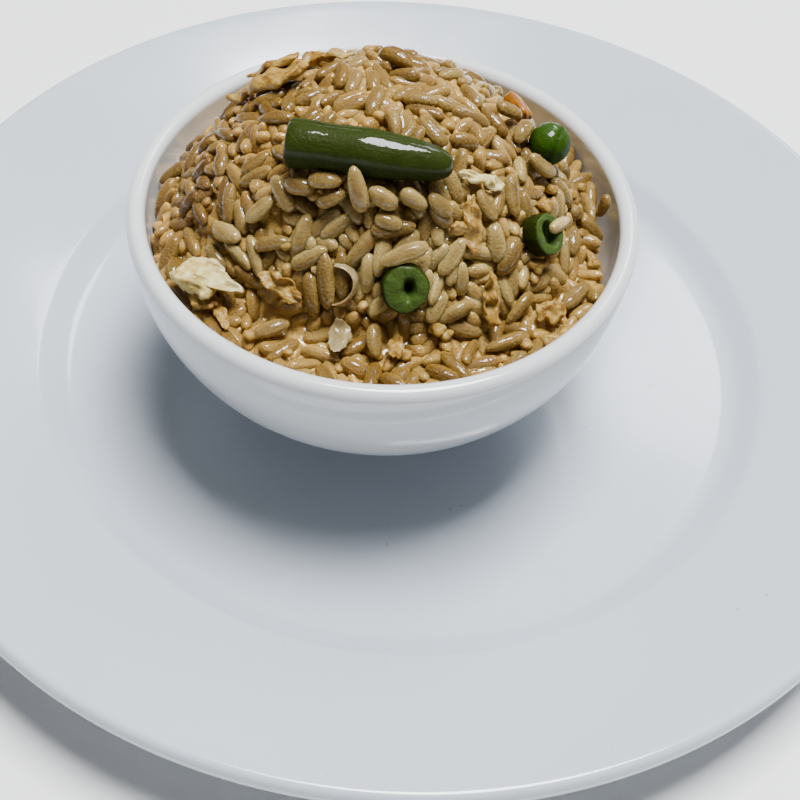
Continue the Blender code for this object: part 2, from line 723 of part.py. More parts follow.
def add_rice_heap(toppings, parent):
    """The core with grains and crumbs fused on by one Boolean union."""
    core = add("rice_heap", smooth_mesh("rice_heap", heap_core()), "fried_rice", parent)
    rule = random.Random(GRAIN_SEED)
    pieces = sow_grains(toppings, rule)
    lumps = [crumb(spot, size, rule) for spot, size in CRUMBS.items()]
    pieces += [lump for lump in lumps if clears(lump, toppings)]
    loose = make_collection("loose_pieces")
    for index, piece in enumerate(pieces):
        add(f"piece_{index}", smooth_mesh("piece", piece), "fried_rice", parent, collection="loose_pieces")
    bpy.context.view_layer.update()
    union = core.modifiers.new("Fused pieces", "BOOLEAN")
    union.operation = "UNION"
    union.operand_type = "COLLECTION"
    union.collection = loose
    fused = bpy.data.meshes.new_from_object(core.evaluated_get(bpy.context.evaluated_depsgraph_get()))
    core.modifiers.clear()
    core.data = fused
    for piece in list(loose.objects):
        bpy.data.objects.remove(piece, do_unlink=True)
    bpy.data.collections.remove(loose)
    keep_largest_shell(fused)
    print("rice_heap:", len(pieces), "pieces fused on")
    return core


def add_toppings(parent):
    """Everything that lies on the heap, and the grain that sticks to the wall."""
    toppings = [
        add_long_bean(parent),
        add_bean_slice("bean_ring", parent, RING_SPOT, (1, 0.1, 0), RING_RADIUS, RING_THICKNESS, RING_HOLE,
                       RING_HOLE_SHIFT),
        add_bean_slice("bean_side_ring", parent, SIDE_RING_SPOT, (0.5, 0.8, 0), SIDE_RING_RADIUS,
                       SIDE_RING_THICKNESS, SIDE_RING_HOLE),
        add_pea(parent),
        add_onion_ring(parent),
        add_carrot_bit(parent),
        add_stray_grain(parent),
    ]
    return toppings + [add_flake(name, parent) for name in FLAKES]


def main():
    clear_scene()
    served = make_collection(SERVING)
    make_finishes()
    bowl_place = bpy.data.objects.new("bowl_place", None)
    served.objects.link(bowl_place)
    bowl_place.location = (BOWL_X, BOWL_Y, 0.0)

    turn(add("plate", outline_mesh("plate", plate_outline()), "plate_glaze"), PLATE_STEPS)
    turn(add("bowl", outline_mesh("bowl", bowl_outline()), "bowl_glaze", bowl_place), BOWL_STEPS)
    toppings = add_toppings(bowl_place)
    bpy.context.view_layer.update()
    add_rice_heap(tree_of(toppings, bowl_place), bowl_place)


main()
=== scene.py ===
# %% [markdown]
# # Fried rice in a small bowl on a plate
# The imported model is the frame: it says where each part stands and how large it is. This lesson dresses it:
# the plate and bowl get their glaze, the heap of rice gets its grains, and each topping its own shape and skin.
# Shapes are worked out in millimetres as whole arrays, and turned into metres when a mesh is made.

import math

import bpy
import numpy as np
from mathutils import Matrix


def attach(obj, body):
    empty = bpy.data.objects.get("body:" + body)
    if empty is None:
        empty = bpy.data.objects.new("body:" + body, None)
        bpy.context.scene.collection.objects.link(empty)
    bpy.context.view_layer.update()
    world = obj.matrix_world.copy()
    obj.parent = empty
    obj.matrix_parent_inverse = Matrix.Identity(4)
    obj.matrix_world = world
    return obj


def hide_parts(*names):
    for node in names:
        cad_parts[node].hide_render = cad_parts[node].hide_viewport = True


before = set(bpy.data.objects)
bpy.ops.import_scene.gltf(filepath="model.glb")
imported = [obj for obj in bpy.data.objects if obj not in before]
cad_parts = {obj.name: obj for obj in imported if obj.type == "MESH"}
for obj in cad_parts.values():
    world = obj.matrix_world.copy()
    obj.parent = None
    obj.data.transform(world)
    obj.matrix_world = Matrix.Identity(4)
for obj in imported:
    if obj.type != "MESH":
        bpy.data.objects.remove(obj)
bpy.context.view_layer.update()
MM = 0.001

# %% [markdown]
# ## Camera, floor and light
# The camera stands where the photo was taken: 252 mm above the table and 217 mm before the plate's middle,
# looking 51 degrees down, with a slight roll. A broad soft light hangs overhead and a little behind, a dimmer
# one stands like a window at the back right, and a pale room fills the shadows.

# %% Camera
CAMERA_PLACE = (0.250, -217.365, 252.416)
CAMERA_PITCH = 51.133
CAMERA_ROLL = 4.940
CAMERA_LENS = 56.13

lens = bpy.data.cameras.new("photo_camera")
lens.lens = CAMERA_LENS
lens.sensor_width = 36.0
lens.sensor_fit = "HORIZONTAL"
lens.clip_start = 0.01
camera = bpy.data.objects.new("photo_camera", lens)
bpy.context.scene.collection.objects.link(camera)
tilt = Matrix.Rotation(math.radians(90 - CAMERA_PITCH), 4, "X") @ Matrix.Rotation(math.radians(CAMERA_ROLL), 4, "Z")
camera.matrix_world = Matrix.Translation([side * MM for side in CAMERA_PLACE]) @ tilt
bpy.context.scene.camera = camera
print("camera lens:", CAMERA_LENS, "mm")


# %% Lights
def add_light(name, place, size, watts, colour):
    """A square soft light at a place in metres, turned to the bowl."""
    lamp = bpy.data.lights.new(name, "AREA")
    lamp.size = size
    lamp.energy = watts
    lamp.color = colour
    light = bpy.data.objects.new(name, lamp)
    bpy.context.scene.collection.objects.link(light)
    aim = (Matrix.Translation((0.0, 0.0, 0.04)).translation - Matrix.Translation(place).translation)
    light.matrix_world = Matrix.Translation(place) @ aim.to_track_quat("-Z", "Y").to_matrix().to_4x4()
    print(f"{name}: {watts} W")


add_light("overhead_light", (0.12, 0.12, 1.12), 0.46, 37.0, (0.97, 0.985, 1.0))
add_light("window_light", (0.50, 0.92, 0.98), 0.40, 7.0, (0.93, 0.97, 1.0))

room = bpy.data.worlds.new("pale_room")
room.use_nodes = True
room.node_tree.nodes["Background"].inputs["Color"].default_value = (1.0, 0.97, 0.92, 1.0)
room.node_tree.nodes["Background"].inputs["Strength"].default_value = 0.12
bpy.context.scene.world = room

# %% [markdown]
# ## Meshes from arrays
# Every new piece is a grid of points worked out by a formula. Three small helpers turn such grids into meshes:
# one lists the quads between neighbouring points, one closes a row of rings at both poles, and one makes the
# mesh, turns it right side out by its volume and registers it with the frame.

# %% Faces of grids
def grid_quads(rows, columns, close_rows=False, close_columns=False):
    """Quads between neighbouring points, numbered row by row. A closed way joins its last line to its first."""
    row = np.arange(rows if close_rows else rows - 1)[:, None]
    column = np.arange(columns if close_columns else columns - 1)[None, :]
    next_row, next_column = (row + 1) % rows, (column + 1) % columns
    corners = [(row, column), (next_row, column), (next_row, next_column), (row, next_column)]
    return np.stack([r * columns + c for r, c in corners], axis=-1).reshape(-1, 4)


def spindle_faces(rings, sides, count=1):
    """Quads and end fans of closed spindles whose points run pole, rings, pole, one spindle after the other."""
    around = np.arange(sides)
    ahead = (around + 1) % sides
    last = 1 + (rings - 1) * sides
    first_fan = np.stack([np.zeros(sides, int), 1 + around, 1 + ahead], axis=1)
    last_fan = np.stack([np.full(sides, last + sides), last + ahead, last + around], axis=1)
    starts = (np.arange(count) * (rings * sides + 2))[:, None, None]
    quads = 1 + grid_quads(rings, sides, close_columns=True) + starts
    fans = np.concatenate([first_fan, last_fan]) + starts
    return quads.reshape(-1, 4), fans.reshape(-1, 3)


# %% Pieces
NO_FANS = np.zeros((0, 3), int)


def add_piece(name, points, quads, fans, slot, replaced=(), marks=None):
    """A smooth mesh from points in millimetres, its faces turned outwards. marks are values for each point."""
    triangles = np.concatenate([quads[:, [0, 1, 2]], quads[:, [0, 2, 3]], fans])
    if np.linalg.det(points[triangles]).sum() < 0:
        quads, fans = quads[:, ::-1], fans[:, ::-1]
    sizes = np.concatenate([np.full(len(quads), 4), np.full(len(fans), 3)])
    mesh = bpy.data.meshes.new(name)
    mesh.vertices.add(len(points))
    mesh.vertices.foreach_set("co", (points * MM).astype(np.float32).ravel())
    mesh.loops.add(sizes.sum())
    mesh.loops.foreach_set("vertex_index", np.concatenate([quads.ravel(), fans.ravel()]).astype(np.int32))
    mesh.polygons.add(len(sizes))
    mesh.polygons.foreach_set("loop_start", (np.cumsum(sizes) - sizes).astype(np.int32))
    mesh.update(calc_edges=True)
    mesh.polygons.foreach_set("use_smooth", np.ones(len(sizes), bool))
    for mark, values in (marks or {}).items():
        layer = mesh.attributes.new(mark, "FLOAT", "POINT")
        layer.data.foreach_set("value", np.ascontiguousarray(values, np.float32).ravel())
    piece = bpy.data.objects.new(name, mesh)
    bpy.context.scene.collection.objects.link(piece)
    piece.data.materials.append(finishes[slot])
    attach(piece, "root")
    if replaced:
        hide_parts(*replaced)
    print(f"{name}: {len(triangles)} triangles")


# %% [markdown]
# ## Unevenness
# Food is never smooth. A cheap, repeatable unevenness is a sum of sine waves that run in scattered directions:
# with a dozen of them no pattern shows, and it works on a whole array of points at once.

# %% Ripples and random directions
def unit(vectors):
    """Vectors of length one."""
    return vectors / np.maximum(np.linalg.norm(vectors, axis=-1, keepdims=True), 1e-9)


def ripples(points, size, seed, waves=12):
    """Unevenness, mostly between -1 and 1: the sum of sine waves about this size long, in scattered directions."""
    draw = np.random.default_rng(seed)
    directions = unit(draw.normal(size=(waves, points.shape[-1])))
    lengths = size * draw.uniform(0.7, 1.6, waves)
    phases = draw.uniform(0, 2 * np.pi, waves)
    swing = np.sin(2 * np.pi * (points @ directions.T) / lengths + phases)
    return swing.sum(axis=-1) / math.sqrt(waves)


# %% [markdown]
# ## Shader helpers
# A finish is a tree of nodes. One helper adds a node and sets or links its sockets by name, one makes a colour
# ramp, and one mixes two colours. The effects that several finishes share are node groups with named sockets:
# each gives only masks, values and heights, and the shader stays in the material.

# %% Nodes
def add_node(tree, kind, sockets=None, **settings):
    """A node with its settings made and its sockets set to a value or linked to another node's output."""
    made = tree.nodes.new(kind)
    for name, value in settings.items():
        setattr(made, name, value)
    for name, value in (sockets or {}).items():
        if isinstance(value, bpy.types.NodeSocket):
            tree.links.new(value, made.inputs[name])
        else:
            made.inputs[name].default_value = value
    return made


def ramp(tree, factor, stops):
    """A colour ramp over a factor: stops are (place, (red, green, blue)) pairs."""
    made = add_node(tree, "ShaderNodeValToRGB", {"Fac": factor})
    elements = made.color_ramp.elements
    while len(elements) < len(stops):
        elements.new(0.5)
    for element, (place, colour) in zip(elements, stops):
        element.position = place
        element.color = (*colour, 1.0)
    return made.outputs["Color"]


def mix(tree, factor, first, second, blend="MIX"):
    """The first colour where the factor is 0, and the second, or a blend of both, where it is 1."""
    # The sockets of a Mix node share their names, so they go by number.
    sockets = {0: factor, 6: first, 7: second}
    return add_node(tree, "ShaderNodeMix", sockets, data_type="RGBA", blend_type=blend).outputs[2]


def reckon(tree, operation, first, second):
    """A sum, product or other operation on two values."""
    made = add_node(tree, "ShaderNodeMath", {0: first, 1: second}, operation=operation)
    return made.outputs[0]


def span(tree, value, low, high, new_low=0.0, new_high=1.0):
    """A value carried from one range to another, and held inside it."""
    sockets = {"Value": value, "From Min": low, "From Max": high, "To Min": new_low, "To Max": new_high}
    return add_node(tree, "ShaderNodeMapRange", sockets).outputs["Result"]


def noise(tree, scale, detail=2.0, roughness=0.5, stretch=None):
    """Noise over the piece's own coordinates in metres, so a scale of 1000 gives a millimetre."""
    place = add_node(tree, "ShaderNodeTexCoord").outputs["Object"]
    if stretch:
        place = add_node(tree, "ShaderNodeMapping", {"Vector": place, "Scale": stretch}).outputs["Vector"]
    sockets = {"Vector": place, "Scale": scale, "Detail": detail, "Roughness": roughness}
    return add_node(tree, "ShaderNodeTexNoise", sockets).outputs["Fac"]


def mark(tree, name):
    """A value that each point of the mesh carries."""
    return add_node(tree, "ShaderNodeAttribute", attribute_name=name).outputs["Fac"]


# %% Node groups and materials
def begin_group(name, inputs, outputs):
    """A node group with number inputs that have defaults, and number outputs."""
    group = bpy.data.node_groups.new(name, "ShaderNodeTree")
    for label, default in inputs.items():
        socket = group.interface.new_socket(label, in_out="INPUT", socket_type="NodeSocketFloat")
        socket.default_value = default
    for label in outputs:
        group.interface.new_socket(label, in_out="OUTPUT", socket_type="NodeSocketFloat")
    return group, add_node(group, "NodeGroupInput").outputs, add_node(group, "NodeGroupOutput").inputs


def place_group(tree, name, values):
    """A node group placed in a material, with its own values."""
    made = tree.nodes.new("ShaderNodeGroup")
    made.node_tree = bpy.data.node_groups[name]
    for label, value in values.items():
        made.inputs[label].default_value = value
    return made.outputs


finishes = {}


def begin_finish(name, **constants):
    """A material whose Principled shader has these constants. Gives its tree and its shader."""
    material = bpy.data.materials.new(name)
    material.use_nodes = True
    finishes[name] = material
    shader = material.node_tree.nodes["Principled BSDF"]
    for label, value in constants.items():
        shader.inputs[label.replace("_", " ")].default_value = value
    return material.node_tree, shader


def finish_with(tree, shader, colour, roughness, height, relief):
    """Links a colour, a roughness and a height of so many metres of relief to the shader."""
    bump = add_node(tree, "ShaderNodeBump", {"Height": height, "Strength": 1.0, "Distance": relief})
    tree.links.new(colour, shader.inputs["Base Color"])
    tree.links.new(roughness, shader.inputs["Roughness"])
    tree.links.new(bump.outputs["Normal"], shader.inputs["Normal"])


# %% [markdown]
# ## Glaze
# Plate and bowl are white porcelain under a clear glaze. Use leaves fine scratches and a few dark specks, and
# the glaze itself is never quite level, so reflections swim a little. Both pieces share one group for this.

# %% Worn glaze group
group, given, result = begin_group("Worn glaze", {"Scratches": 0.3, "Specks": 0.3}, ("Scratch", "Speck", "Height"))
fine = noise(group, 60.0, 3.0, 0.6, stretch=(14.0, 1.0, 1.0))
cross = noise(group, 70.0, 3.0, 0.6, stretch=(1.0, 11.0, 1.0))
scratch = reckon(group, "MAXIMUM", span(group, fine, 0.66, 0.70), span(group, cross, 0.67, 0.71))
spots = add_node(group, "ShaderNodeTexVoronoi", {
    "Vector": add_node(group, "ShaderNodeTexCoord").outputs["Object"], "Scale": 160.0, "Randomness": 1.0})
speck = span(group, spots.outputs["Distance"], 0.075, 0.045)
rare = span(group, noise(group, 55.0, 1.0), 0.60, 0.66)
group.links.new(reckon(group, "MULTIPLY", scratch, given["Scratches"]), result["Scratch"])
group.links.new(reckon(group, "MULTIPLY", reckon(group, "MULTIPLY", speck, rare), given["Specks"]), result["Speck"])
group.links.new(noise(group, 18.0, 1.0), result["Height"])
print("node group:", group.name)


# %% Glaze finishes
def add_glaze(name, colour, shade, roughness, wear):
    """Porcelain glaze that turns from its colour to a faint shade, with wear of its own."""
    tree, shader = begin_finish(name, Specular_IOR_Level=0.5, Coat_Weight=0.25, Coat_Roughness=0.06)
    worn = place_group(tree, "Worn glaze", wear)
    body = mix(tree, span(tree, noise(tree, 9.0, 2.0), 0.35, 0.65), (*colour, 1.0), (*shade, 1.0))
    scratched = mix(tree, worn["Scratch"], body, (0.42, 0.44, 0.48, 1.0))
    specked = mix(tree, worn["Speck"], scratched, (0.12, 0.10, 0.09, 1.0))
    rough = reckon(tree, "ADD", span(tree, noise(tree, 45.0, 3.0), 0.3, 0.7, roughness, roughness + 0.05),
                   reckon(tree, "MULTIPLY", worn["Scratch"], 0.3))
    finish_with(tree, shader, specked, rough, worn["Height"], 0.0006)


add_glaze("plate_glaze", (0.50, 0.54, 0.60), (0.475, 0.515, 0.575), 0.13, {"Scratches": 0.22, "Specks": 0.35})
add_glaze("bowl_glaze", (0.62, 0.63, 0.635), (0.59, 0.60, 0.61), 0.10, {"Scratches": 0.03, "Specks": 0.10})
print("finishes:", list(finishes))

# %% [markdown]
# ## Plate and bowl
# Both are turned on a wheel or pressed and then glazed, so a profile carried round the axis is the real way of
# making them. The profile's corners are rounded with tangent arcs, and its long runs get points of their own,
# so that the shading stays even beside a tight curve.

# %% Profiles
def rounded(corners, arc_step=math.radians(9)):
    """The outline through (radius, height, fillet) corners, each fillet an arc tangent to both of its sides."""
    outline = []
    for index, (radius, height, fillet) in enumerate(corners):
        corner = np.array([radius, height])
        if not fillet:
            outline.append(corner[None])
            continue
        back = unit(np.array(corners[index - 1][:2]) - corner)
        ahead = unit(np.array(corners[index + 1][:2]) - corner)
        half = math.acos(float(back @ ahead)) / 2
        centre = corner + unit(back + ahead) * fillet / math.sin(half)
        start = corner + back * fillet / math.tan(half) - centre
        bend = math.copysign(math.pi - 2 * half, -(back[0] * ahead[1] - back[1] * ahead[0]))
        turn = np.linspace(0, bend, max(3, math.ceil(abs(bend) / arc_step) + 1))
        arc = np.stack([np.cos(turn) * start[0] - np.sin(turn) * start[1],
                        np.sin(turn) * start[0] + np.cos(turn) * start[1]], axis=1)
        outline.append(centre + arc)
    return np.concatenate(outline)


def with_support(outline, spacing=2.5):
    """The outline with points added so that no run is longer than the spacing."""
    runs = np.linalg.norm(np.diff(outline, axis=0), axis=1)
    counts = np.maximum(np.ceil(runs / spacing).astype(int), 1)
    places = [outline[i] + (outline[i + 1] - outline[i]) * np.arange(n)[:, None] / n for i, n in enumerate(counts)]
    return np.concatenate(places + [outline[-1:]])


def turned(outline, steps, centre=(0.0, 0.0)):
    """Points of an outline of (radius, height) carried round an upright axis, pole first and last."""
    turn = 2 * np.pi * np.arange(steps) / steps
    radius, height = outline[1:-1, 0, None], outline[1:-1, 1, None]
    rings = np.stack([radius * np.cos(turn), radius * np.sin(turn), height + 0 * turn], axis=-1).reshape(-1, 3)
    poles = np.array([[0.0, 0.0, outline[0, 1]], [0.0, 0.0, outline[-1, 1]]])
    return np.concatenate([poles[:1], rings, poles[1:]]) + np.array([*centre, 0.0])


# %% Plate
PLATE_CORNERS = [
    (0.0, 5.2, 0), (86.0, 5.2, 7.0), (92.4, 11.0, 5.0), (129.6, 24.9, 1.9), (129.6, 19.8, 1.9),
    (94.0, 7.4, 6.0), (88.6, 2.2, 3.0), (82.0, 2.2, 0.2), (81.5, 0.0, 0.4), (77.5, 0.0, 0.4),
    (77.0, 2.2, 0.2), (0.0, 2.2, 0),
]
PLATE_STEPS = 240

plate_outline = with_support(rounded(PLATE_CORNERS))
plate_points = turned(plate_outline, PLATE_STEPS)
add_piece("plate_glazed", plate_points, *spindle_faces(len(plate_outline) - 2, PLATE_STEPS), "plate_glaze", ["plate"])

# %% Bowl walls
BOWL_CENTRE = np.array([-7.1, -4.8, 0.0])
BOWL_RADIUS = 58.0
BOWL_TOP = 61.0
BOWL_LIP = 4.3
BOWL_FLOOR = 13.0
INNER_ROUNDNESS = 2.3
OUTER_ROUNDNESS = 2.2
OUTER_DEPTH = 50.8
LIP_HEIGHT = BOWL_TOP - BOWL_LIP / 2
FOOT_ANGLE = math.acos((29.0 / BOWL_RADIUS) ** (OUTER_ROUNDNESS / 2))


def bowl_wall(angle, radius, depth, roundness):
    """A superellipse from under the lip, at angle 0, towards the middle of the floor, at a right angle."""
    power = 2 / roundness
    return np.stack([radius * np.cos(angle) ** power, LIP_HEIGHT - depth * np.sin(angle) ** power], axis=1)


# %% Bowl
BOWL_STEPS = 200

inner_angles = np.linspace(np.pi / 2, 0.01, 46)[1:]
inner = bowl_wall(inner_angles, BOWL_RADIUS - BOWL_LIP, LIP_HEIGHT - BOWL_FLOOR, INNER_ROUNDNESS)
lip_turn = np.linspace(np.pi, 0, 17)
lip = np.stack([BOWL_RADIUS - BOWL_LIP / 2 * (1 - np.cos(lip_turn)),
                LIP_HEIGHT + BOWL_LIP / 2 * np.sin(lip_turn)], axis=1)
outer = bowl_wall(np.linspace(0.01, FOOT_ANGLE, 40), BOWL_RADIUS, OUTER_DEPTH, OUTER_ROUNDNESS)
foot = rounded([(*outer[-1], 0), (28.5, 5.5, 0.5), (25.6, 5.5, 0.5), (25.1, 9.4, 0.6), (0.0, 9.4, 0)])[1:]
bowl_outline = with_support(np.concatenate([[[0.0, BOWL_FLOOR]], inner, lip, outer, foot]))
bowl_points = turned(bowl_outline, BOWL_STEPS, BOWL_CENTRE[:2])
add_piece("bowl_glazed", bowl_points, *spindle_faces(len(bowl_outline) - 2, BOWL_STEPS), "bowl_glaze", ["bowl"])

# %% [markdown]
# ## The heap's form
# The rice fills the bowl and was pressed into a blunt dome, steeper in front, that runs out into a level shelf
# inside the rim. One formula gives this core. Grains and toppings are laid by their distance from it, so they
# all sit on the same heap.

# %% Core surface
DOME_MIDDLE = np.array([-1.5, 1.5])
DOME_BASE = 53.4
DOME_RISE = 33.0
DOME_POWER = 2.4
DOME_REACH = 48.6
FRONT_CUT = 9.0
SHELF_HEIGHT = 54.4
SHELF_BLEND = 1.5
SIDE_GAPS = ((math.radians(3), math.radians(16), 6.2), (math.radians(-160), math.radians(20), 3.2))
GAP_FALL = 1.5


def shelf_reach(turn):
    """How far out the level rice reaches: up to the wall, less the gaps at the right and the left."""
    reach = BOWL_RADIUS - BOWL_LIP
    for middle, spread, width in SIDE_GAPS:
        away = (turn - middle + np.pi) % (2 * np.pi) - np.pi
        reach = reach - width * np.exp(-((away / spread) ** 2) / 2)
    return reach


def core_height(x, y):
    """Height of the core, seen from the bowl's axis: a blunt dome blended with a shelf that falls away at its edge."""
    across, along = x - DOME_MIDDLE[0], y - DOME_MIDDLE[1]
    distance = np.hypot(across, along) + 1e-9
    reach = DOME_REACH - FRONT_CUT * np.maximum(-along / distance, 0.0) ** 2
    dome = DOME_BASE + DOME_RISE * (1 - np.minimum(distance / reach, 1.25) ** DOME_POWER)
    beyond = np.maximum(np.hypot(x, y) - shelf_reach(np.arctan2(y, x)), 0.0)
    return SHELF_BLEND * np.logaddexp(dome / SHELF_BLEND, SHELF_HEIGHT / SHELF_BLEND) - GAP_FALL * beyond


def core_normal(x, y, step=0.5):
    """The core's outward direction, from its slope both ways."""
    slope_x = (core_height(x + step, y) - core_height(x - step, y)) / (2 * step)
    slope_y = (core_height(x, y + step) - core_height(x, y - step)) / (2 * step)
    return unit(np.stack([-slope_x, -slope_y, np.ones_like(slope_x)], axis=-1))


def core_point(spot, lift=0.0):
    """The point this far off the core at a spot (x, y)."""
    x, y = np.asarray(spot, float)
    return np.array([x, y, core_height(x, y)]) + core_normal(x, y) * lift


def core_frame(spot, heading):
    """Three directions at a spot: along the core towards the heading, across it, and straight off it."""
    up = core_normal(*np.asarray(spot, float))
    forward = unit(np.asarray(heading, float) - up * (np.asarray(heading, float) @ up))
    return forward, np.cross(up, forward), up


def wall_radius(height):
    """The bowl's inner radius at a height, and beyond reach above the lip."""
    sunk = np.clip((LIP_HEIGHT - height) / (LIP_HEIGHT - BOWL_FLOOR), 0.0, 1.0)
    wall = (BOWL_RADIUS - BOWL_LIP) * (1 - sunk ** INNER_ROUNDNESS) ** (1 / INNER_ROUNDNESS)
    return np.where(height > BOWL_TOP, 1e3, wall)


# %% [markdown]
# ## Oily skin
# Everything in the bowl was fried: a film of oil covers it, thicker in some places, and the surface under it is
# finely pitted, so that the light breaks into clusters of small sparkles. One group gives a height for the pits,
# a rougher or smoother film, and blotches for colour.

# %% Oily skin group
skin_inputs = {"Pit size": 1500.0, "Blotch size": 250.0, "Dry": 0.42, "Wet": 0.16}
group, given, result = begin_group("Oily skin", skin_inputs, ("Pits", "Film", "Blotch"))


def sized_noise(scale_socket, detail):
    """Noise in the group whose scale comes from a socket."""
    made = noise(group, 1.0, detail, 0.55)
    group.links.new(scale_socket, made.node.inputs["Scale"])
    return made


pits = sized_noise(given["Pit size"], 3.0)
blotch = sized_noise(given["Blotch size"], 3.0)
film = span(group, blotch, 0.38, 0.62)
drying = add_node(group, "ShaderNodeMix", {0: film, 2: given["Wet"], 3: given["Dry"]}, data_type="FLOAT")
group.links.new(pits, result["Pits"])
group.links.new(drying.outputs[0], result["Film"])
group.links.new(span(group, blotch, 0.30, 0.70), result["Blotch"])
print("node group:", group.name)

# %% [markdown]
# ## Rice finish
# A cooked grain is translucent, cream where it is clean and tan to brown where soy sauce has soaked in, and light
# scatters deep in it. Each grain carries its own tone and its depth in the heap: the deeper it lies, the paler its
# colour, a painted light in the gaps that stands in for the light real grains pass on to those below. A third mark
# says how far round to a thin side a point lies: the thick middle is painted darker than the sides, a painted
# shade for the light that the thick middle swallows.

# %% Rice
CLEAN_RICE = [(0.0, (0.46, 0.350, 0.130)), (0.45, (0.235, 0.156, 0.037)),
              (0.8, (0.170, 0.096, 0.017)), (1.0, (0.125, 0.060, 0.008))]
# partly painted shade: this darker golden colour, given most on top, is partly the rice's own colour and partly
# darkens the top against the overhead light
GOLDEN_SHADED_RICE = (0.185, 0.102, 0.009, 1.0)
# painted light: the paler colour that deep grains and the core take on, in place of light in the gaps
PAINTED_GAP_LIGHT_RICE = (0.60, 0.365, 0.092, 1.0)
# painted shade: the tint that darkens the thick middle of each grain, so that its thin sides and ends look paler
PAINTED_THICK_SHADE = (0.62, 0.55, 0.42, 1.0)

tree, shader = begin_finish("fried_rice", Subsurface_Weight=1.0, Subsurface_Scale=0.0020, Specular_IOR_Level=0.18,
                            Subsurface_Radius=(1.0, 0.75, 0.50), Coat_Roughness=0.06, Coat_IOR=1.55)
skin = place_group(tree, "Oily skin", {"Pit size": 1900.0, "Blotch size": 420.0, "Dry": 0.55, "Wet": 0.32})
tone = reckon(tree, "ADD", mark(tree, "tone"), span(tree, skin["Blotch"], 0.0, 1.0, -0.12, 0.12))
golden = mix(tree, mark(tree, "gold_and_shade"), ramp(tree, tone, CLEAN_RICE), GOLDEN_SHADED_RICE)
# painted light: the deeper the mark says a point lies, the paler its colour
gap_lit = mix(tree, mark(tree, "depth"), golden, PAINTED_GAP_LIGHT_RICE)
# painted shade: the middle of each flat face is multiplied darker, the thin sides and ends stay paler
middle = span(tree, mark(tree, "rim"), 0.0, 1.0, 1.0, 0.0)
thick_shaded = mix(tree, middle, gap_lit, PAINTED_THICK_SHADE, "MULTIPLY")
tree.links.new(span(tree, skin["Pits"], 0.45, 0.55, 0.10, 1.0), shader.inputs["Coat Weight"])
finish_with(tree, shader, thick_shaded, skin["Film"], skin["Pits"], 0.0004)
print("finishes:", list(finishes))

# %% [markdown]
# ## Egg, onion and vegetable finishes
# Fried egg is cream to golden, browned on the ridges that touched the pan. Onion is glassy. Beans are green
# skins over paler flesh, and a mark on the mesh says which is which.

# %% Egg
def add_egg(name, pale, golden, browned, dry):
    """Fried egg: pale in the hollows, golden, and browned where the mark called ridge is high."""
    tree, shader = begin_finish(name, Subsurface_Weight=0.35, Subsurface_Scale=0.0014, Specular_IOR_Level=0.25,
                                Subsurface_Radius=(1.0, 0.6, 0.3), Coat_Weight=0.12, Coat_Roughness=0.2)
    skin = place_group(tree, "Oily skin", {"Pit size": 1100.0, "Blotch size": 330.0, "Dry": dry, "Wet": 0.28})
    height = reckon(tree, "ADD", mark(tree, "ridge"), span(tree, skin["Blotch"], 0.0, 1.0, -0.25, 0.25))
    colour = ramp(tree, height, [(0.15, pale), (0.55, golden), (0.92, browned)])
    finish_with(tree, shader, colour, skin["Film"], skin["Pits"], 0.0004)


add_egg("cooked_egg", (0.37, 0.245, 0.060), (0.29, 0.160, 0.024), (0.17, 0.072, 0.009), 0.50)
add_egg("egg_white", (0.60, 0.53, 0.27), (0.52, 0.43, 0.16), (0.42, 0.28, 0.06), 0.52)

# %% Onion and carrot
tree, shader = begin_finish("onion", Subsurface_Weight=0.5, Subsurface_Scale=0.0022, Transmission_Weight=0.15,
                            Subsurface_Radius=(1.0, 0.6, 0.3), Coat_Weight=0.4, Coat_Roughness=0.1)
skin = place_group(tree, "Oily skin", {"Pit size": 900.0, "Blotch size": 300.0, "Dry": 0.34, "Wet": 0.14})
colour = ramp(tree, skin["Blotch"], [(0.2, (0.40, 0.33, 0.17)), (0.8, (0.29, 0.21, 0.085))])
finish_with(tree, shader, colour, skin["Film"], skin["Pits"], 0.0003)

tree, shader = begin_finish("carrot", Subsurface_Weight=0.4, Subsurface_Scale=0.0018,
                            Subsurface_Radius=(1.0, 0.35, 0.12), Specular_IOR_Level=0.2,
                            Coat_Weight=0.15, Coat_Roughness=0.12)
skin = place_group(tree, "Oily skin", {"Pit size": 1300.0, "Blotch size": 500.0, "Dry": 0.50, "Wet": 0.3})
colour = ramp(tree, skin["Blotch"], [(0.2, (0.28, 0.105, 0.004)), (0.8, (0.20, 0.062, 0.002))])
finish_with(tree, shader, colour, skin["Film"], skin["Pits"], 0.0003)


# %% Beans and pea
def add_green(name, painted_lit_skin, painted_shaded_skin, flesh, shine):
    """Green vegetable: skin in two greens by the mark called shade, a painted shade that makes the upper side lighter
    and the lower side darker, and flesh where the mark called flesh is 1.
    """
    tree, shader = begin_finish(name, Subsurface_Weight=0.18, Subsurface_Scale=0.0014, Specular_IOR_Level=0.05,
                                Subsurface_Radius=(0.5, 1.0, 0.2), Coat_Roughness=0.03, Coat_IOR=1.4)
    skin = place_group(tree, "Oily skin", {"Pit size": 1500.0, "Blotch size": 300.0, "Dry": 0.50, "Wet": 0.32})
    shade = reckon(tree, "ADD", mark(tree, "shade"), span(tree, skin["Blotch"], 0.0, 1.0, -0.22, 0.22))
    # painted shade: the shade mark turns into lighter green on the upper side and darker green below
    green = ramp(tree, shade, [(0.1, painted_shaded_skin), (0.9, painted_lit_skin)])
    colour = mix(tree, mark(tree, "flesh"), green, (*flesh, 1.0))
    tree.links.new(span(tree, mark(tree, "shade"), 0.76, 0.92, 0.0, shine), shader.inputs["Coat Weight"])
    finish_with(tree, shader, colour, skin["Film"], skin["Pits"], 0.00028)


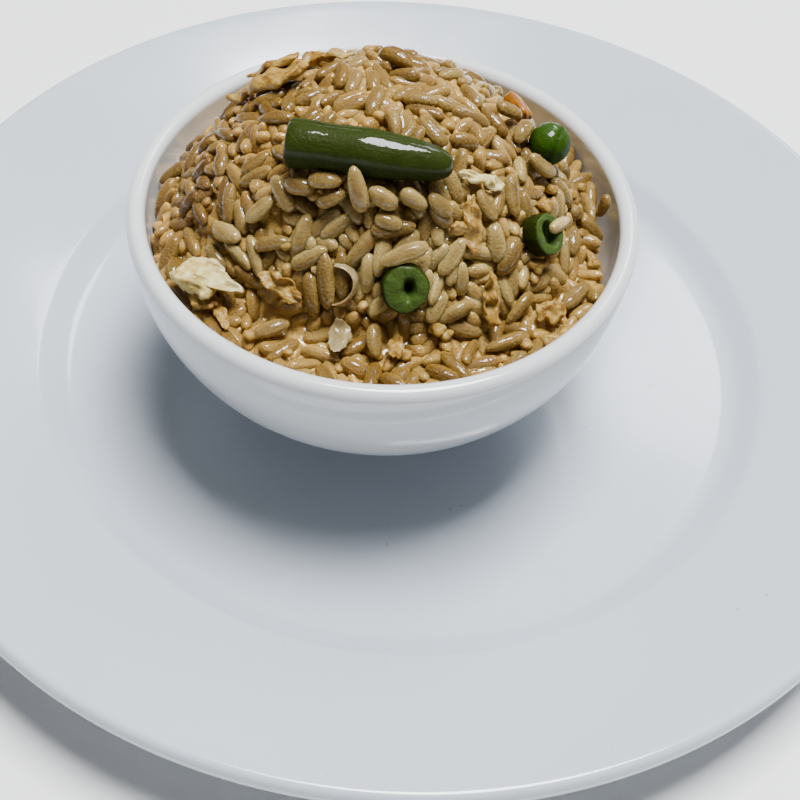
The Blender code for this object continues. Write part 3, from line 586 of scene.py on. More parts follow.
add_green("green_bean", (0.019, 0.029, 0.0025), (0.006, 0.008, 0.0009), (0.048, 0.084, 0.015), 0.7)
add_green("green_pea", (0.022, 0.054, 0.003), (0.008, 0.022, 0.001), (0.034, 0.064, 0.007), 0.8)
print("finishes:", list(finishes))

# %% [markdown]
# ## Toppings as obstacles
# The toppings are laid before the rice, because grains nestle against them. Each topping lists a few points
# with a radius round them, and the grains are later pushed clear of these balls.

# %% Obstacles
BALLS = []


def keep_clear(points, radius):
    """Remembers points, seen from the bowl's axis, that grains have to stay this far from."""
    BALLS.append(np.concatenate([points.reshape(-1, 3), np.full((points.size // 3, 1), radius)], axis=1))


# %% [markdown]
# ## Green bean
# The largest topping is the end of a green bean, 31 mm long: cut square on the left, drawn to a round tip on the
# right. Its body is a ring of points carried along a slightly bowed path. The rings crowd at the cut end, where
# the edge is rounded over a flat face, and the skin has two shallow seams and fine wrinkles.

# %% Bean body
BEAN_START = (-17.9, -12.2)
BEAN_END = (11.9, -14.5)
BEAN_RADIUS = 4.9
BEAN_BOW = 0.8
CUT_EDGE = 0.045
FACE_SHARE = 0.86
TAPER_FROM = 0.45
REST_GAP = 0.5


def bean_axis(share):
    """Points on the bean's axis at shares of its length, bowed off the crown of the heap."""
    lift = REST_GAP + BEAN_RADIUS
    start, end = core_point(BEAN_START, lift), core_point(BEAN_END, lift)
    crown = core_normal(*(np.array(BEAN_START) + np.array(BEAN_END)) / 2)
    line = start + (end - start) * np.linspace(0, 1, 33)[:, None]
    raised = (lift - (line[:, 2] - core_height(line[:, 0], line[:, 1])) * crown[2]).max()
    share = share[:, None]
    return start + (end - start) * share + crown * (raised + BEAN_BOW * 4 * share * (1 - share)), crown


def bean_girth(share):
    """The bean's radius: rounded over the cut edge, a full body, and an elliptical taper to the tip."""
    rounding = np.sqrt(1 - (1 - np.minimum(share / CUT_EDGE, 1)) ** 2)
    trimmed = FACE_SHARE + (1 - FACE_SHARE) * rounding
    taper = np.clip((share - TAPER_FROM) / (1 - TAPER_FROM), 0, 1)
    swell = 1 + 0.025 * np.sin(2 * np.pi * (share * 2.3 + 0.1))
    return BEAN_RADIUS * trimmed * swell * (0.30 + 0.70 * np.sqrt(1 - 0.97 * taper ** 2.0))


# %% Bean rings and skin
BEAN_SIDES = 120
FACE_RINGS = np.array([0.25, 0.5, 0.75, 0.93])
FACE_FLESH = np.array([1.0, 1.0, 1.0, 0.6])
TIP_RINGS = np.array([0.85, 0.6, 0.3])
TIP_BULGE = np.array([0.35, 0.6, 0.75])

along = np.concatenate([np.linspace(0, CUT_EDGE, 9), np.linspace(CUT_EDGE, 0.9, 150)[1:],
                        np.linspace(0.9, 1.0, 24)[1:]])
share = np.concatenate([0 * FACE_RINGS, along, 1 + 0 * TIP_RINGS])
girth = bean_girth(share) * np.concatenate([FACE_RINGS, 1 + 0 * along, TIP_RINGS])
centres, crown = bean_axis(share)
end_bulge = np.concatenate([0 * FACE_RINGS, 0 * along, TIP_BULGE])
bean_run = unit(bean_axis(np.array([0.98]))[0][0] - bean_axis(np.array([0.02]))[0][0])
centres = centres + bean_run * end_bulge[:, None]
bean_side = np.cross(crown, bean_run)
turn = 2 * np.pi * np.arange(BEAN_SIDES) / BEAN_SIDES
radial = np.cos(turn)[:, None] * bean_side + np.sin(turn)[:, None] * np.cross(bean_run, bean_side)
seam = 1 - 0.035 * np.exp(-((turn - 0.9) / 0.10) ** 2) - 0.03 * np.exp(-((turn - 4.1) / 0.12) ** 2)
rings = centres[:, None] + radial * (girth[:, None] * seam)[..., None]
drawn_out = rings * np.array([0.25, 1.0, 1.0])
wrinkle = ripples(drawn_out, 2.2, 5) * 0.02 + ripples(rings, 7.0, 6) * 0.07 + ripples(rings, 1.1, 7) * 0.011
rings = rings + radial * (wrinkle * (girth / BEAN_RADIUS)[:, None])[..., None]
face_dent = centres[:1] + bean_run * 0.25
bean_points = np.concatenate([face_dent, rings.reshape(-1, 3), centres[-1:] + bean_run * 0.05]) + BOWL_CENTRE
# painted shade: the upper side of the skin gets the lighter green, the underside the darker green
upper = np.clip((radial @ crown) * 0.5 + 0.5, 0, 1)
shade = np.concatenate([[0.4], (upper + 0 * girth[:, None]).ravel(), [0.5]])
ring_flesh = np.concatenate([FACE_FLESH, 0 * along, 0 * TIP_RINGS])
flesh = np.concatenate([[1.0], np.repeat(ring_flesh, BEAN_SIDES), [0.0]])
add_piece("green_bean", bean_points, *spindle_faces(len(share), BEAN_SIDES), "green_bean", ["bean_long"],
          {"shade": shade, "flesh": flesh})
keep_clear(bean_axis(np.linspace(0.1, 0.95, 16))[0], 4.6)

# %% [markdown]
# ## Bean slices
# Two slices were cut across a bean. A slice is a closed band: outer skin, upper cut face, the wall of the seed
# hollow, lower cut face. Round the slice and round this band are the two parameters of the surface.

# %% Slices
SLICE_SIDES = 72
BAND_STEPS = 40
SLICE_GAP = 0.9


def bean_slice(name, node, spot, heading, radius, thickness, hole, hole_shift, seed):
    """A slice on the core: a round outline and an oval hole that narrows downwards, joined by a rounded band."""
    forward, side, up = core_frame(spot, heading)
    middle = core_point(spot, SLICE_GAP + thickness / 2)
    turn = 2 * np.pi * np.arange(SLICE_SIDES) / SLICE_SIDES
    band = np.linspace(0, 2 * np.pi, BAND_STEPS + 1)[:-1]
    flat = np.sign(np.sin(band)) * np.abs(np.sin(band)) ** 0.5
    reach = (1 + np.sign(np.cos(band)) * np.abs(np.cos(band)) ** 0.5) / 2
    ring = turn[:, None]
    outer_x, outer_y = radius * 0.96 * np.cos(ring), radius * np.sin(ring)
    funnel = np.interp(flat, (-1.0, 0.9), (0.12, 1.0))
    inner_x, inner_y = hole[0] * funnel * np.cos(ring) + hole_shift, hole[1] * funnel * np.sin(ring)
    wobble = 1 + 0.025 * np.sin(3 * ring + seed) + 0.015 * np.sin(7 * ring)
    x = inner_x + (outer_x * wobble - inner_x) * reach
    y = inner_y + (outer_y * wobble - inner_y) * reach
    bulge = 1 + 0.05 * np.sin(2 * ring + 2 * seed)
    z = flat * thickness / 2 * bulge + 0.12 * np.sin(5 * ring) * (1 - reach)
    points = middle + x[..., None] * forward + y[..., None] * side + z[..., None] * up
    points = points + ripples(points, 1.6, seed)[..., None] * 0.05 * up
    flesh = np.clip((0.93 - reach) / 0.10, 0, 1) + 0 * ring
    # painted shade: the upper half of the slice gets the lighter green, the lower half the darker green
    shade = 0.35 + 0.5 * np.clip(flat, 0, 1) + 0 * ring
    quads = grid_quads(SLICE_SIDES, BAND_STEPS, close_rows=True, close_columns=True)
    add_piece(name, points.reshape(-1, 3) + BOWL_CENTRE, quads, NO_FANS, "green_bean", [node],
              {"shade": shade, "flesh": flesh * 0.75})
    spokes = np.cos(turn[::8, None]) * forward + np.sin(turn[::8, None]) * side
    keep_clear(middle + spokes * radius * 0.6, radius * 0.42)


bean_slice("bean_slice", "bean_ring", (5.9, -30.8), (1, 0.1, 0), 5.2, 5.0, (1.25, 2.2), 0.8, seed=1)
bean_slice("bean_side_slice", "bean_side_ring", (32.6, -14.7), (0.5, 0.8, 0), 4.6, 4.6, (1.6, 3.0), 0.0, seed=2)

# %% [markdown]
# ## Pea
# A cooked pea shrinks a little in its skin. It is a ball whose radius dips along a crease and ripples finely.

# %% Ball
def ball_points(rings, sides):
    """Points of a ball of radius 1, pole, rings, pole: polar runs from pole to pole and turn goes round them."""
    polar = np.linspace(0, np.pi, rings + 2)[1:-1, None]
    turn = 2 * np.pi * np.arange(sides)[None, :] / sides
    ball = np.stack([np.sin(polar) * np.cos(turn), np.sin(polar) * np.sin(turn), np.cos(polar) + 0 * turn], axis=-1)
    return np.concatenate([[[0.0, 0.0, 1.0]], ball.reshape(-1, 3), [[0.0, 0.0, -1.0]]])


# %% Pea shape
PEA_SPOT = (31.6, 4.0)
PEA_RADIUS = 4.6
PEA_GRID = (36, 52)

ball = ball_points(*PEA_GRID)
crease = np.exp(-((ball @ unit(np.array([-0.75, 0.1, 0.25])) + 0.12) / 0.10) ** 2)
crease = crease * np.clip(-(ball @ unit(np.array([0.1, 0.7, -0.7]))) + 0.3, 0, 1)
radius = PEA_RADIUS * (1 - 0.07 * crease + 0.012 * ripples(ball * 4, 3.2, 21) + 0.008 * ripples(ball * 4, 1.3, 22))
pea_points = core_point(PEA_SPOT, REST_GAP + PEA_RADIUS) + ball * radius[:, None]
# painted shade: the pea's top gets the lighter green, its underside and its crease the darker green
add_piece("green_pea", pea_points + BOWL_CENTRE, *spindle_faces(*PEA_GRID), "green_pea", ["pea"],
          {"shade": np.clip(0.55 + 0.35 * ball[:, 2] - 0.5 * crease, 0, 1), "flesh": np.zeros(len(ball))})
keep_clear(core_point(PEA_SPOT, REST_GAP + PEA_RADIUS)[None], 4.4)

# %% [markdown]
# ## Torn pieces
# Egg and onion lie about as torn flakes. Each is a closed pillow: u runs round its ragged edge, and rings run
# from the middle of its underside over the edge to the middle of its top. The pillow is then laid on the core,
# rippled and curled, and crumpled more finely on the surface.

# %% Torn flake
def on_core(origin, directions, plane, lift):
    """Points at (along, across) in a tangent plane, drawn in until each is its lift clear of the core."""
    forward, side, up = directions
    points = origin + plane[..., :1] * forward + plane[..., 1:] * side
    for _ in range(3):
        clear = (points[..., 2] - core_height(points[..., 0], points[..., 1])) * up[2]
        points = points + up * (lift - clear)[..., None]
    return points


ROUNDISH = (1.0, 0.94, 1.04, 0.9, 1.0, 1.08, 0.94, 1.02, 0.9, 1.06, 0.96, 1.0)


def torn_flake(start, end, width, thickness, seed, crumple, fold, lift=0.0, curl=0.0, fold_size=5.0, ragged=0.06,
               outline=ROUNDISH, strands=0.0, rings=30, sides=72):
    """A pillow between two spots: a torn outline, level faces, rippled by fold, curled at its ends, and crumpled.

    outline lists how far the edge reaches at even steps round the flake, from its end spot on, as a share of an
    ellipse, with straight tears between. strands is the height of fine ridges that run along the flake.
    """
    start, end = np.array(start), np.array(end)
    first, last = core_point(start), core_point(end)
    origin = core_point((start + end) / 2)
    directions = core_frame((start + end) / 2, last - first)
    length = np.linalg.norm(last - first)
    ring = np.linspace(0, np.pi, rings + 2)[:, None]
    turn = 2 * np.pi * np.arange(sides)[None, :] / sides
    rho = np.sin(ring)
    level = -np.sign(np.cos(ring)) * np.sqrt(np.clip(1 - rho ** 5, 0, 1))
    reach = np.interp(turn, 2 * np.pi * np.arange(len(outline) + 1) / len(outline), (*outline, outline[0]))
    rag = ripples(np.stack([np.cos(turn), np.sin(turn)], -1) * 3, 1.6, seed)
    rag = rag + 0.5 * ripples(np.stack([np.cos(turn), np.sin(turn)], -1) * 3, 0.7, seed + 50)
    edge = rho * (reach + ragged * rag * rho ** 2)
    plane = np.stack([np.cos(turn) * edge * length / 2, np.sin(turn) * edge * width / 2], axis=-1)
    wave = (1 + ripples(plane, fold_size, seed + 1)) / 2 * fold
    local = thickness * (0.75 + 0.25 * ripples(plane, fold_size * 0.8, seed + 2))
    height = REST_GAP + lift + curl * (2 * plane[..., 0] / length) ** 2 + wave + local / 2 * (1 + level)
    points = on_core(origin, directions, plane, height)
    rough = ripples(points, 1.7, seed + 3) + 0.6 * ripples(points, 0.8, seed + 4)
    strand = ripples(plane * np.array([0.12, 1.0]), 0.9, seed + 5) * strands
    points = points + directions[2] * ((rough * crumple + strand) * (0.35 + 0.65 * (level > 0)))[..., None]
    points = np.concatenate([points[:1, 0], points[1:-1].reshape(-1, 3), points[-1:, 0]])
    ridge = np.clip(0.5 + 0.35 * wave / max(fold, 1e-3) - 0.2 + 0.25 * rough, 0, 1)
    ridge = np.concatenate([ridge[:1, 0], ridge[1:-1].ravel(), ridge[-1:, 0]])
    return points, ridge


def add_torn(name, slot, nodes, flakes):
    """One piece made of several torn flakes."""
    made = [torn_flake(**flake) for flake in flakes]
    faces = [spindle_faces(flake.get("rings", 30), flake.get("sides", 72)) for flake in flakes]
    starts = np.cumsum([0] + [len(points) for points, _ in made[:-1]])
    quads = np.concatenate([quad + first for (quad, _), first in zip(faces, starts)])
    fans = np.concatenate([fan + first for (_, fan), first in zip(faces, starts)])
    points = np.concatenate([points for points, _ in made])
    ridges = np.concatenate([ridge for _, ridge in made])
    add_piece(name, points + BOWL_CENTRE, quads, fans, slot, nodes, {"ridge": ridges})
    keep_clear(points[::23], 1.25)


# %% Egg and onion flakes
WEDGE = (1.0, 0.66, 0.68, 0.94, 0.78, 0.86, 0.80, 1.04, 1.10, 0.98, 0.84, 0.46)
STRIP = (1.0, 0.95, 0.88, 0.98, 0.86, 0.95, 1.0, 0.97, 0.86, 0.98, 0.90, 0.96)
LEAF = (0.9, 1.0, 1.0, 0.95, 0.85, 0.8, 1.2, 0.75, 0.85, 0.95, 1.0, 1.0)

add_torn("egg_white_chunk", "egg_white", ["egg_chunk"], [
    dict(start=(-39.8, -21.6), end=(-25.8, -30.8), width=8.4, thickness=2.4, lift=2.0, fold=1.0, fold_size=9.0,
         crumple=0.06, ragged=0.05, outline=WEDGE, strands=0.24, seed=101),
])
add_torn("egg_below_chunk", "cooked_egg", ["egg_corner"], [
    dict(start=(-39.0, -29.6), end=(-33.4, -34.4), width=5.6, thickness=2.2, lift=0.6, fold=1.2, fold_size=4.4,
         crumple=0.14, seed=111),
    dict(start=(-34.2, -31.0), end=(-30.0, -39.6), width=3.0, thickness=1.0, lift=0.6, fold=1.0, fold_size=4.0,
         crumple=0.12, outline=STRIP, strands=0.12, seed=113, sides=56, rings=22),
])
add_torn("egg_brown_fold", "cooked_egg", ["egg_fold"], [
    dict(start=(-34.5, 12.8), end=(-16.5, 8.7), width=8.4, thickness=3.4, lift=1.0, curl=0.5, fold=1.4, fold_size=8.0,
         crumple=0.14, outline=LEAF, seed=121),
    dict(start=(-30.0, 14.5), end=(-18.0, 12.0), width=4.6, thickness=1.8, lift=3.6, curl=0.6, fold=1.0, fold_size=6.0,
         crumple=0.14, outline=LEAF, strands=0.1, seed=124, sides=64, rings=24),
])
add_torn("egg_back_strip", "cooked_egg", ["egg_back"], [
    dict(start=(-23.2, 17.6), end=(-9.8, 17.6), width=5.0, thickness=2.2, lift=0.6, fold=1.2, fold_size=4.2,
         crumple=0.16, outline=STRIP, seed=131),
])
add_torn("egg_pale_shred", "egg_white", ["egg_shred"], [
    dict(start=(14.2, -13.6), end=(20.4, -12.4), width=2.8, thickness=1.1, lift=1.6, curl=0.5, fold=0.5, fold_size=4.0,
         crumple=0.08, outline=STRIP, strands=0.12, seed=141),
    dict(start=(18.8, -12.6), end=(24.2, -11.4), width=3.2, thickness=1.7, lift=0.9, fold=0.5, fold_size=3.0,
         crumple=0.15, seed=143, sides=56, rings=22),
])
add_torn("egg_curled_piece", "cooked_egg", ["egg_curl"], [
    dict(start=(17.0, -16.2), end=(19.6, -24.6), width=4.6, thickness=1.8, lift=0.7, curl=0.5, fold=1.2, fold_size=4.4,
         crumple=0.12, outline=STRIP, strands=0.08, seed=151),
    dict(start=(18.6, -20.6), end=(13.6, -22.4), width=3.0, thickness=1.3, lift=1.1, fold=0.8, fold_size=4.0,
         crumple=0.12, outline=LEAF, seed=154, sides=56, rings=22),
])
add_torn("egg_creased_piece", "cooked_egg", ["egg_crease"], [
    dict(start=(-23.2, -28.6), end=(-13.6, -33.2), width=4.8, thickness=1.5, lift=0.9, curl=0.6, fold=1.6,
         fold_size=4.0, crumple=0.14, outline=STRIP, strands=0.10, seed=161),
])
add_torn("egg_ridged_piece", "cooked_egg", ["egg_ridge"], [
    dict(start=(23.4, -24.6), end=(23.8, -31.8), width=3.8, thickness=1.8, lift=0.6, fold=1.4, fold_size=3.4,
         crumple=0.15, outline=STRIP, seed=171),
])
add_torn("egg_brown_nub", "cooked_egg", ["egg_nub"], [
    dict(start=(35.0, -27.8), end=(41.2, -25.8), width=6.0, thickness=2.8, fold=1.0, fold_size=3.2,
         crumple=0.14, ragged=0.03, seed=181),
])
add_torn("onion_clear_flake", "onion", ["onion_flake"], [
    dict(start=(-6.2, -35.0), end=(-6.4, -40.0), width=5.2, thickness=0.9, lift=0.8, curl=0.5, fold=0.7,
         crumple=0.06, outline=STRIP, seed=191),
])

# %% [markdown]
# ## Egg scraps
# Egg broke into scraps in the pan: a thin strip and a small flake near the front rim, and crumbs that lie all over
# the heap. The crumbs are lumps on the core: small balls whose radius ripples.

# %% Scraps and crumbs
CRUMB_GRID = (9, 14)
CRUMB_SHAPE = np.array([0.85, 0.7, 0.6])
CRUMB_LIFT = 1.3

add_torn("egg_rim_scraps", "cooked_egg", ["rice_heap"], [
    dict(start=(37.0, -37.6), end=(45.6, -28.2), width=2.4, thickness=0.8, lift=1.2, fold=1.4, fold_size=3.4,
         crumple=0.12, outline=STRIP, seed=201, sides=56, rings=20),
    dict(start=(5.2, -37.0), end=(6.0, -44.6), width=3.6, thickness=1.6, lift=1.2, fold=0.9, fold_size=4.0,
         crumple=0.12, outline=LEAF, seed=205, sides=56, rings=20),
])
CRUMB_PLACES = np.array([  # spots x, y and radii
    (48.0, -10.4, 1.7), (34.2, -7.9, 2.4), (40.2, 2.3, 2.2), (33.3, -19.2, 2.6), (13.6, -34.5, 2.4),
    (15.8, -35.2, 1.8), (35.5, -2.6, 1.8), (17.0, -9.5, 1.5), (-18.6, -26.0, 1.5), (-12.0, -19.0, 1.2),
    (7.6, -42.0, 2.0), (33.0, -36.0, 1.8), (38.2, -34.2, 2.0), (-25.2, -40.0, 1.8), (-16.6, -44.0, 1.4),
    (-38.0, 3.0, 1.6), (-6.0, 26.0, 2.0), (12.0, 33.0, 2.0),
    (-33.0, 24.0, 2.2), (30.0, 28.0, 1.8), (-20.0, 38.0, 1.8), (45.0, 14.0, 1.6), (2.0, 44.0, 1.6), (22.0, 41.0, 1.5),
])
lump = ball_points(*CRUMB_GRID)
crumb_middles = np.array([core_point((x, y), CRUMB_LIFT) for x, y, _ in CRUMB_PLACES])
crumbs = crumb_middles[:, None] + lump * CRUMB_PLACES[:, None, 2:] * CRUMB_SHAPE
swell = ripples(crumbs, 2.4, 211) * 0.30 + ripples(crumbs, 1.1, 212) * 0.16
crumbs = crumbs + lump * (swell * CRUMB_PLACES[:, None, 2] * 0.6)[..., None]
crumb_faces = spindle_faces(*CRUMB_GRID, len(crumbs))
add_piece("egg_crumbs", crumbs.reshape(-1, 3) + BOWL_CENTRE, *crumb_faces, "cooked_egg", ["rice_heap"],
          {"ridge": np.clip(0.35 + swell.ravel(), 0, 1)})
keep_clear(crumb_middles, 1.5)

# %% [markdown]
# ## Onion ring and carrot
# The onion is a thin curved slice standing on its edge: its middle line is an arc, and its section a slim oval.
# The carrot is a small cut block with worn edges, a superellipsoid, roughened where the knife went through.

# %% Onion ring
ONION_SPOT = (-7.9, -31.4)
ONION_RADIUS = 4.6
ONION_BEND = 1.66
ONION_GRID = (64, 20)

turn = np.linspace(-ONION_BEND, ONION_BEND, ONION_GRID[0])[:, None]
section = 2 * np.pi * np.arange(ONION_GRID[1])[None, :] / ONION_GRID[1]
slimmer = 1 - 0.5 * np.abs(turn / ONION_BEND) ** 6
rise = 1.75 + 1.5 * np.sin(section) * slimmer
thin = 0.38 * np.cos(section) * slimmer
reach = ONION_RADIUS * (1 - 0.04 * rise) + thin + 0.25 * np.sin(2.2 * turn)
plane = np.stack([reach * np.cos(turn), reach * np.sin(turn)], axis=-1)
onion = on_core(core_point(ONION_SPOT), core_frame(ONION_SPOT, (1, 0, 0)), plane, REST_GAP + rise)
caps = onion[[0, -1]].mean(axis=1)
onion_points = np.concatenate([caps[:1], onion.reshape(-1, 3), caps[1:]])
add_piece("onion_arc", onion_points + BOWL_CENTRE, *spindle_faces(*ONION_GRID), "onion", ["onion_ring"])
keep_clear(onion[::6, ::10], 0.9)

# %% Carrot
CARROT_SPOT = (26.3, 14.2)
CARROT_SIZE = np.array([7.5, 4.2, 3.4])
CARROT_LIFT = 2.6
CARROT_GRID = (24, 36)
SQUARENESS = 6

forward, side, up = core_frame(CARROT_SPOT, (0.55, -0.84, 0))
block = ball_points(*CARROT_GRID)
block = block / (np.abs(block) ** SQUARENESS).sum(axis=1, keepdims=True) ** (1 / SQUARENESS)
block = block * (1 + 0.035 * ripples(block * 4, 2.6, 31))[:, None]
block = block * CARROT_SIZE / 2
carrot_middle = core_point(CARROT_SPOT, CARROT_LIFT)
carrot = carrot_middle + block @ np.stack([forward, side, up])
add_piece("carrot_cube", carrot + BOWL_CENTRE, *spindle_faces(*CARROT_GRID), "carrot", ["carrot_bit"])
keep_clear(carrot_middle + np.linspace(-2.4, 2.4, 4)[:, None] * forward, 2.1)

# %% [markdown]
# ## Grains with a place of their own
# Some grains stand out in the photo: one leans on the bean, one bridges the bean slice, three lie in the onion.
# They are placed by the spots under their two ends and how far off the core the ends are, and stay put while the
# loose rice settles round them.

# %% Placed grains
PLACED = np.array([  # end spots x, y and their lifts, width, tone
    (-5.4, -17.0, 9.4, -3.3, -22.6, 4.8, 3.9, 0.05), (-2.4, -19.4, 6.0, 3.1, -21.4, 4.4, 4.0, 0.05),
    (3.4, -19.2, 6.0, 8.6, -20.6, 4.4, 3.9, 0.08), (-1.6, -24.8, 2.6, 7.2, -23.2, 2.8, 3.7, 0.50),
    (8.6, -18.8, 5.0, 13.6, -20.4, 3.4, 3.7, 0.30), (-7.4, -18.6, 6.2, -13.8, -17.8, 5.6, 3.8, 0.15),
    (-1.0, -23.0, 3.6, 4.8, -23.8, 3.2, 3.7, 0.25), (21.4, 8.6, 2.6, 26.6, 9.0, 3.4, 3.8, 0.40),
    (26.0, 0.6, 2.8, 27.6, 7.2, 4.6, 3.8, 0.35), (28.6, -1.4, 3.0, 34.4, -0.8, 3.2, 3.7, 0.30),
    (0.6, -28.4, 5.6, 9.6, -25.2, 5.0, 3.7, 0.20), (-6.2, -29.6, 1.4, 0.0, -24.4, 1.4, 3.6, 0.25),
    (13.0, -28.4, 1.4, 17.2, -22.6, 1.4, 3.8, 0.08), (13.4, -33.8, 1.4, 20.3, -29.9, 1.4, 3.6, 0.35),
    (28.4, -30.4, 1.2, 33.0, -23.2, 1.4, 3.2, 0.35), (25.6, -24.6, 1.4, 28.4, -17.4, 1.5, 4.6, 0.55),
    (32.0, -14.4, 6.4, 37.8, -8.0, 3.6, 3.6, 0.05), (0.4, -35.6, 1.3, 1.6, -43.4, 1.3, 3.6, 0.20),
    (-18.8, -17.6, 4.6, -12.6, -19.0, 4.4, 3.7, 0.30), (-12.4, -21.2, 3.4, -6.8, -19.8, 4.4, 3.6, 0.20),
    (9.6, -19.8, 3.6, 14.2, -21.8, 1.8, 3.6, 0.30), (-21.4, -15.4, 3.2, -17.6, -21.6, 2.2, 3.8, 0.15),
    (24.2, -38.4, 1.3, 33.6, -33.4, 1.4, 4.0, 0.45), (41.0, -24.4, 1.4, 46.2, -16.8, 1.4, 3.9, 0.40),
    (25.6, -7.6, 1.4, 27.6, -14.8, 1.4, 3.8, 0.40), (-24.6, -40.2, 1.6, -17.0, -35.4, 1.6, 3.4, 0.10),
    (-34.6, -18.4, 1.5, -28.4, -22.8, 1.5, 4.2, 0.12), (-27.2, -20.6, 1.6, -21.8, -18.6, 1.5, 3.8, 0.15),
    (-25.6, -24.6, 1.3, -17.6, -25.4, 1.3, 3.4, 0.40), (-10.8, -27.4, 1.5, -9.0, -34.2, 1.9, 4.1, 0.42),
    (-13.8, -29.6, 1.2, -11.8, -35.2, 1.2, 3.8, 0.50), (-7.2, -27.6, 1.2, -6.4, -33.2, 1.2, 3.6, 0.50),
    (6.2, -3.3, 1.6, 11.8, -8.7, 1.5, 4.0, 0.30), (12.4, -6.9, 1.5, 18.6, -5.4, 1.5, 3.8, 0.45),
    (-0.1, -2.6, 1.5, 2.2, -9.0, 1.5, 3.9, 0.30), (-3.4, 16.6, 3.4, 3.8, 12.6, 2.6, 4.6, 0.75),
])
placed_start = np.array([core_point(row[:2], row[2]) for row in PLACED])
placed_end = np.array([core_point(row[3:5], row[5]) for row in PLACED])
placed_run = np.linalg.norm(placed_end - placed_start, axis=1)
placed_beads = placed_start[:, None] + (placed_end - placed_start)[:, None] * np.array([0.2, 0.4, 0.6, 0.8])[:, None]
keep_clear(placed_beads, 1.5)
print(f"placed grains: {len(PLACED)}, from {placed_run.min():.1f} to {placed_run.max():.1f} mm long")

# %% [markdown]
# ## Laying the rice
# Some 2,400 grains make the heap's outer 7 mm. A physics engine could drop them, but a lighter way gives the
# same look: each grain is four beads on a line. Beads that overlap push each other apart, a grain's beads are
# put back on their line, and the bowl, the toppings and the heap's outer form hold them in. Cooked grains are
# soft and stick together, so the beads are smaller than the grain and a pull inwards packs them.

# %% Find beads that are close
def close_pairs(points, reach):
    """Index pairs of points that may be nearer than reach: both are in one cell of a grid or in cells side by side."""
    cells = np.floor((points - points.min(axis=0)) / reach).astype(np.int64) + 1
    spans = cells.max(axis=0) + 2
    keys = (cells[:, 0] * spans[1] + cells[:, 1]) * spans[2] + cells[:, 2]
    order = np.argsort(keys, kind="stable")
    sorted_keys = keys[order]
    steps = np.array([(i, j, k) for i in (-1, 0, 1) for j in (-1, 0, 1) for k in (-1, 0, 1) if (i, j, k) >= (0, 0, 0)])
    found = []
    for step in (steps[:, 0] * spans[1] + steps[:, 1]) * spans[2] + steps[:, 2]:
        first = np.searchsorted(sorted_keys, sorted_keys + step, "left")
        last = np.searchsorted(sorted_keys, sorted_keys + step, "right")
        if step == 0:
            first = np.arange(len(points)) + 1
        counts = np.maximum(last - first, 0)
        mine = np.repeat(np.arange(len(points)), counts)
        other = np.arange(counts.sum()) - np.repeat(np.cumsum(counts) - counts, counts) + np.repeat(first, counts)
        found.append(np.stack([order[mine], order[other]], axis=1))
    return np.concatenate(found)


# %% Sow the grains
GRAIN_COUNT = 2400
GRAIN_LENGTH = (7.4, 9.6)
GRAIN_WIDTH = (3.2, 4.0)
GRAIN_FLATNESS = 0.84
GRAIN_SOFTNESS = 0.63
DEEPEST = -4.6
OUTERMOST = 2.5
BEADS = np.array([-1.0, -0.34, 0.34, 1.0])
SOWN_PER_GRAIN = 8
SOWN_RADIUS = 53.0
MOST_SLOPE = 2.4
LAID_FLAT = 0.80

draw = np.random.default_rng(42)
many = GRAIN_COUNT * SOWN_PER_GRAIN
radius = SOWN_RADIUS * np.sqrt(draw.random(many))
turn = draw.uniform(0, 2 * np.pi, many)
radius = np.minimum(radius, shelf_reach(turn) - 0.5)
x, y = radius * np.cos(turn), radius * np.sin(turn)
normals = core_normal(x, y)
# A slope has more surface than its plan shows, so more of the places drawn over it are kept.
kept = np.flatnonzero(draw.random(many) * MOST_SLOPE < 1 / normals[:, 2])[:GRAIN_COUNT]
normals = normals[kept]
depth = draw.uniform(DEEPEST, OUTERMOST - 1.3, GRAIN_COUNT)
centres = np.stack([x[kept], y[kept], core_height(x[kept], y[kept])], axis=1) + normals * depth[:, None]
spread = draw.normal(size=(GRAIN_COUNT, 3))
axes = unit(spread - normals * (spread * normals).sum(axis=1, keepdims=True) * LAID_FLAT)
lengths = draw.uniform(*GRAIN_LENGTH, GRAIN_COUNT)
widths = draw.uniform(*GRAIN_WIDTH, GRAIN_COUNT)
print("grains sown:", GRAIN_COUNT)

# %% Settle the grains
ROUNDS = 90
BANK_HEIGHT = 4.0
BANK_WIDTH = 3.4
LARGE_BALL = 1.9
PAIR_REACH = 5.2
SHOVE = 0.7
PULL = 0.05

balls = np.concatenate(BALLS)
large_balls = balls[balls[:, 3] > LARGE_BALL]
bead_radius = np.repeat(widths * 0.5 * GRAIN_SOFTNESS, 4)
half = (lengths - widths * GRAIN_SOFTNESS) / 2
owner = np.repeat(np.arange(GRAIN_COUNT), 4)


